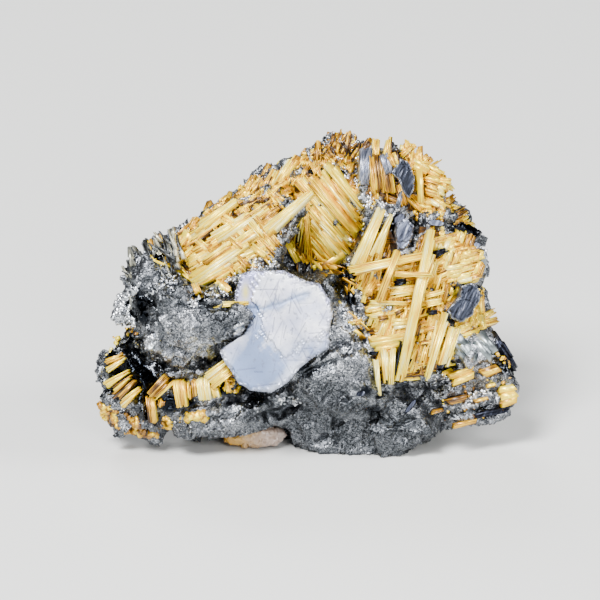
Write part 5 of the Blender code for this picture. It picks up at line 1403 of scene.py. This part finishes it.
def single_crystals(name, crystals, material, slot):
    """Six-sided crystals on the front, from across, up, two half sizes, half thickness, tip, swing and spin."""
    rows = np.array(crystals)
    spots = at_front(rows[:, 0], rows[:, 1], np.zeros(len(rows)))[0]
    tip, swing, spin = np.radians(rows[:, 5:8].T)
    first = np.multiply.outer(np.cos(spin), ACROSS) + np.multiply.outer(np.sin(spin), UPWARD)
    facing = unit(-AWAY + np.multiply.outer(np.tan(tip), UPWARD) + np.multiply.outer(np.tan(swing), ACROSS))
    first = unit(first - facing * (first * facing).sum(1, keepdims=True))
    second = np.cross(facing, first)
    turns = np.radians((0, 55, 125, 180, 235, 305))
    ring = (np.cos(turns)[None, :, None] * first[:, None] * rows[:, 2, None, None]
            + np.sin(turns)[None, :, None] * second[:, None] * rows[:, 3, None, None])
    thick = facing[:, None] * rows[:, 4, None, None]
    points = np.concatenate((spots[:, None] + ring * 0.86 + thick, spots[:, None] + ring - thick), 1).reshape(-1, 3)
    base = (np.arange(len(rows)) * 12)[:, None, None]
    corner = np.arange(6)
    ahead = (corner + 1) % 6
    walls = np.stack((corner, corner + 6, ahead + 6, ahead), 1)
    ends = np.concatenate((corner[None], corner[None, ::-1] + 6))
    piece = new_piece(name, within_box(points),
                      (walls[None] + base).reshape(-1, 4).tolist() + (ends[None] + base).reshape(-1, 6).tolist())
    bevel = piece.modifiers.new("worn_edges", "BEVEL")
    bevel.width = 0.06 * MM
    bevel.segments = 1
    hold(piece, material, slot)


# Bright hematite: fresh silver-grey crystal faces, a little clouded and satin rather than polished.
bright_hematite, tree, shader = new_material("mirror_bright_hematite")
place = add_node(tree, "TexCoord").outputs["Object"]
clouds = add_node(tree, "TexNoise", {"Vector": place, "Scale": 900.0, "Detail": 3.0})
colour = add_node(tree, "ValToRGB", {"Fac": clouds.outputs["Fac"]},
                  stops=((0.3, "#62696C"), (0.5, "#909A9C"), (0.7, "#D0D7D9")))
relief = add_node(tree, "Bump", {"Height": clouds.outputs["Fac"], "Distance": 0.05 * MM, "Strength": 0.5})
fill(tree, shader, {"Base Color": colour.outputs["Color"], "Normal": relief.outputs[0], "Metallic": 0.9,
                    "Roughness": 0.36})
single_crystals("bright_crystals", BRIGHT_CRYSTALS, bright_hematite, "hematite_silver")
single_crystals("lavender_crystals", LAVENDER_CRYSTALS, lavender_hematite, "hematite_dark")
single_crystals("dark_crystals", DARK_CRYSTALS, black_hematite, "hematite_dark")

# Striated hematite strips. Narrow grey-blue faces with fine lines stand between the rutile groups, dark ones show
# in the slots of the right lattice and in the wing, and broad silvery prism faces stand out of the wing.
STRIATED_SHOULDER = ((6.1, 29.1, 5.8, 25.4, 1.2, 1.0, 0.95), (7.8, 28.5, 8.4, 26.5, 1.0, 0.8, 1.7),
                     (9.6, 24.9, 9.2, 23.2, 0.5, 0.4, 1.2), (8.2, 19.4, 7.4, 17.9, 1.1, 0.9, 1.2))
STRIATED_SLOTS = (
    (8.95, 6.2, 9.6, 9.8, 0.3, 0.25, 2.0), (12.3, 12.6, 13.1, 12.7, 0.5, 0.5, 2.1), (8.8, 15.6, 10.0, 15.8, 0.7, 0.6, 1.5),
    (6.4, 8.6, 7.3, 8.6, 0.4, 0.4, 1.5), (9.7, 7.2, 10.4, 8.2, 0.8, 0.6, 1.2), (12.7, 18.3, 14.2, 19.0, 0.7, 0.5, 1.6),
)
WING_FACETS = (
    (16.7, 10.6, 18.5, 8.5, 1.7, 1.4, 0.5),
    (15.7, 9.6, 17.0, 7.9, 1.1, 0.9, 1.3),
    (14.9, 10.2, 15.9, 9.4, 1.3, 1.0, 0.9),
    (14.6, 8.8, 15.4, 8.4, 0.7, 0.6, 0.8),
)
WING_BANDS = (
    (18.5, 10.7, 19.4, 9.3, 0.5, 0.6, 0.25),
    (19.4, 9.4, 20.4, 8.0, 0.7, 0.6, 0.3),
    (20.3, 8.0, 21.0, 6.8, 0.6, 0.6, 0.25),
    (16.4, 2.2, 20.4, 3.2, 0.4, 0.8, 0.12),
    (15.6, 6.9, 17.8, 7.3, 0.35, 0.3, 0.4),
    (14.6, 7.9, 15.6, 7.5, 0.8, 0.6, 0.4),
    (11.4, 4.0, 12.0, 5.6, 0.3, 0.25, 0.2),
    (2.8, 15.6, 4.7, 13.8, 0.9, 0.7, 0.1),
)
# Hematite growth faces again, here silver with a blue cast.
silver_blue = streaked_hematite("silver_blue_specular_hematite",
                                ((0.3, "#5C6274"), (0.5, "#8E94A7"), (0.7, "#CDD1DD")))
dice = np.random.default_rng(124)
slots = joined(striae(STRIATED_SLOTS, RIGHT_FACE, dice, ragged=0.2),
               laid(WING_BANDS, dice, stria=0.35, drop=0.05, lean=0.5))
for name, made, material in (
        ("striated_strips", striae(STRIATED_SHOULDER, SHOULDER_FACE, dice, ragged=0.2), silver_blue),
        ("wing_facets", laid(WING_FACETS, dice, stria=1.0, ragged=0.1, drop=0.05, lean=0.6), bright_hematite),
        ("dark_slots", slots, black_hematite)):
    points, faces, uv, _ = prisms(made, dice)
    strips = new_piece(name, within_box(points), faces, uv=uv)
    turn_outward(strips)
    hold(strips, material, "hematite_dark")

# Quartz chip. A small clouded chip of quartz is caught under the front left edge, honey at its left end and
# pinkish at its right. It is translucent, with a rough broken surface.
CHIP_VOXEL = 0.09
CHIP_GRAINS = ((1.1, 0.22, 51), (0.4, 0.25, 52))
points, triangles, normals = remeshed(packed_form("quartz_chip"), CHIP_VOXEL)
points = points + normals * sum(tilted_cells(points, *grain) for grain in CHIP_GRAINS)[:, None]
points[:, 2] = np.maximum(points[:, 2], INSIDE_BOX)
low_x, high_x = points[:, 0].min(), points[:, 0].max()
chip = new_piece("clouded_quartz", points, triangles, along=(points[:, 0] - low_x) / (high_x - low_x))

# Clouded quartz, translucent: stained honey by iron at one end, pinkish grey at the other.
material, tree, shader = new_material("clouded_quartz")
place = add_node(tree, "TexCoord").outputs["Object"]
clouds = add_node(tree, "TexNoise", {"Vector": place, "Scale": 900.0, "Detail": 3.0})
along = add_node(tree, "Attribute", attribute_name="along")
shifted = add_node(tree, "MapRange", {0: clouds.outputs["Fac"], 3: -0.25, 4: 0.25})
total = add_node(tree, "Math", {0: along.outputs["Fac"], 1: shifted.outputs[0]}, use_clamp=True)
colour = add_node(tree, "ValToRGB", {"Fac": total.outputs[0]},
                  stops=((0.0, "#C08414"), (0.3, "#CCA04C"), (0.65, "#BFA592"), (1.0, "#B3A39A")))
fill(tree, shader, {"Base Color": colour.outputs["Color"], "Roughness": 0.25, "IOR": 1.54,
                    "Transmission Weight": 0.25})
hold(chip, material, "quartz", "quartz_chip")

# Floor, light and camera. A plain pale table, a large soft box above in front, and softer fills at the sides.
FLOOR_HALF = 900.0
floor_points = np.array(((-1.0, -1.0, 0.0), (1.0, -1.0, 0.0), (1.0, 1.0, 0.0), (-1.0, 1.0, 0.0))) * FLOOR_HALF
floor = new_piece("floor", floor_points, [[0, 1, 2, 3]])

# Painted board, matt and nearly white.
floor_paint, tree, shader = new_material("pale_matt_floor")
fill(tree, shader, {"Base Color": hex_colour("#D9DAD8"), "Roughness": 0.6})
floor.data.materials.append(floor_paint)
floor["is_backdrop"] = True

LIGHTS = (
    ("key", (-0.25, -0.45, 0.62), 0.26, 18.5),
    ("front", (0.22, -0.70, 0.34), 0.26, 5.0),
    ("right", (0.60, -0.10, 0.42), 0.25, 5.0),
    ("back", (-0.20, 0.55, 0.50), 0.25, 3.0),
)
for name, place, light_size, power in LIGHTS:
    lamp = bpy.data.lights.new(name, "AREA")
    lamp.size = light_size
    lamp.energy = power
    soft_box = bpy.data.objects.new(name, lamp)
    soft_box.location = place
    soft_box.rotation_euler = (Vector((0, 0, 0.012)) - Vector(place)).to_track_quat("-Z", "Y").to_euler()
    bpy.context.scene.collection.objects.link(soft_box)

world = bpy.data.worlds.new("dim_room")
world.use_nodes = True
world.node_tree.nodes["Background"].inputs["Color"].default_value = hex_colour("#9A9CA2")
world.node_tree.nodes["Background"].inputs["Strength"].default_value = 0.16
bpy.context.scene.world = world

CAMERA_DISTANCE = 1600.0
FRAME_WIDTH = 60.0
FRAME_MIDDLE = (-0.6, 13.9)
lens = bpy.data.cameras.new("camera")
lens.sensor_width = 36.0
lens.lens = lens.sensor_width * CAMERA_DISTANCE / FRAME_WIDTH
lens.clip_start = 0.1
lens.clip_end = 10.0
camera = bpy.data.objects.new("camera", lens)
camera.location = Vector(seen(np.array(FRAME_MIDDLE[0]), np.array(FRAME_MIDDLE[1]), np.array(-CAMERA_DISTANCE)) * MM)
camera.rotation_euler = Vector(AWAY).to_track_quat("-Z", "Y").to_euler()
bpy.context.scene.collection.objects.link(camera)
bpy.context.scene.camera = camera
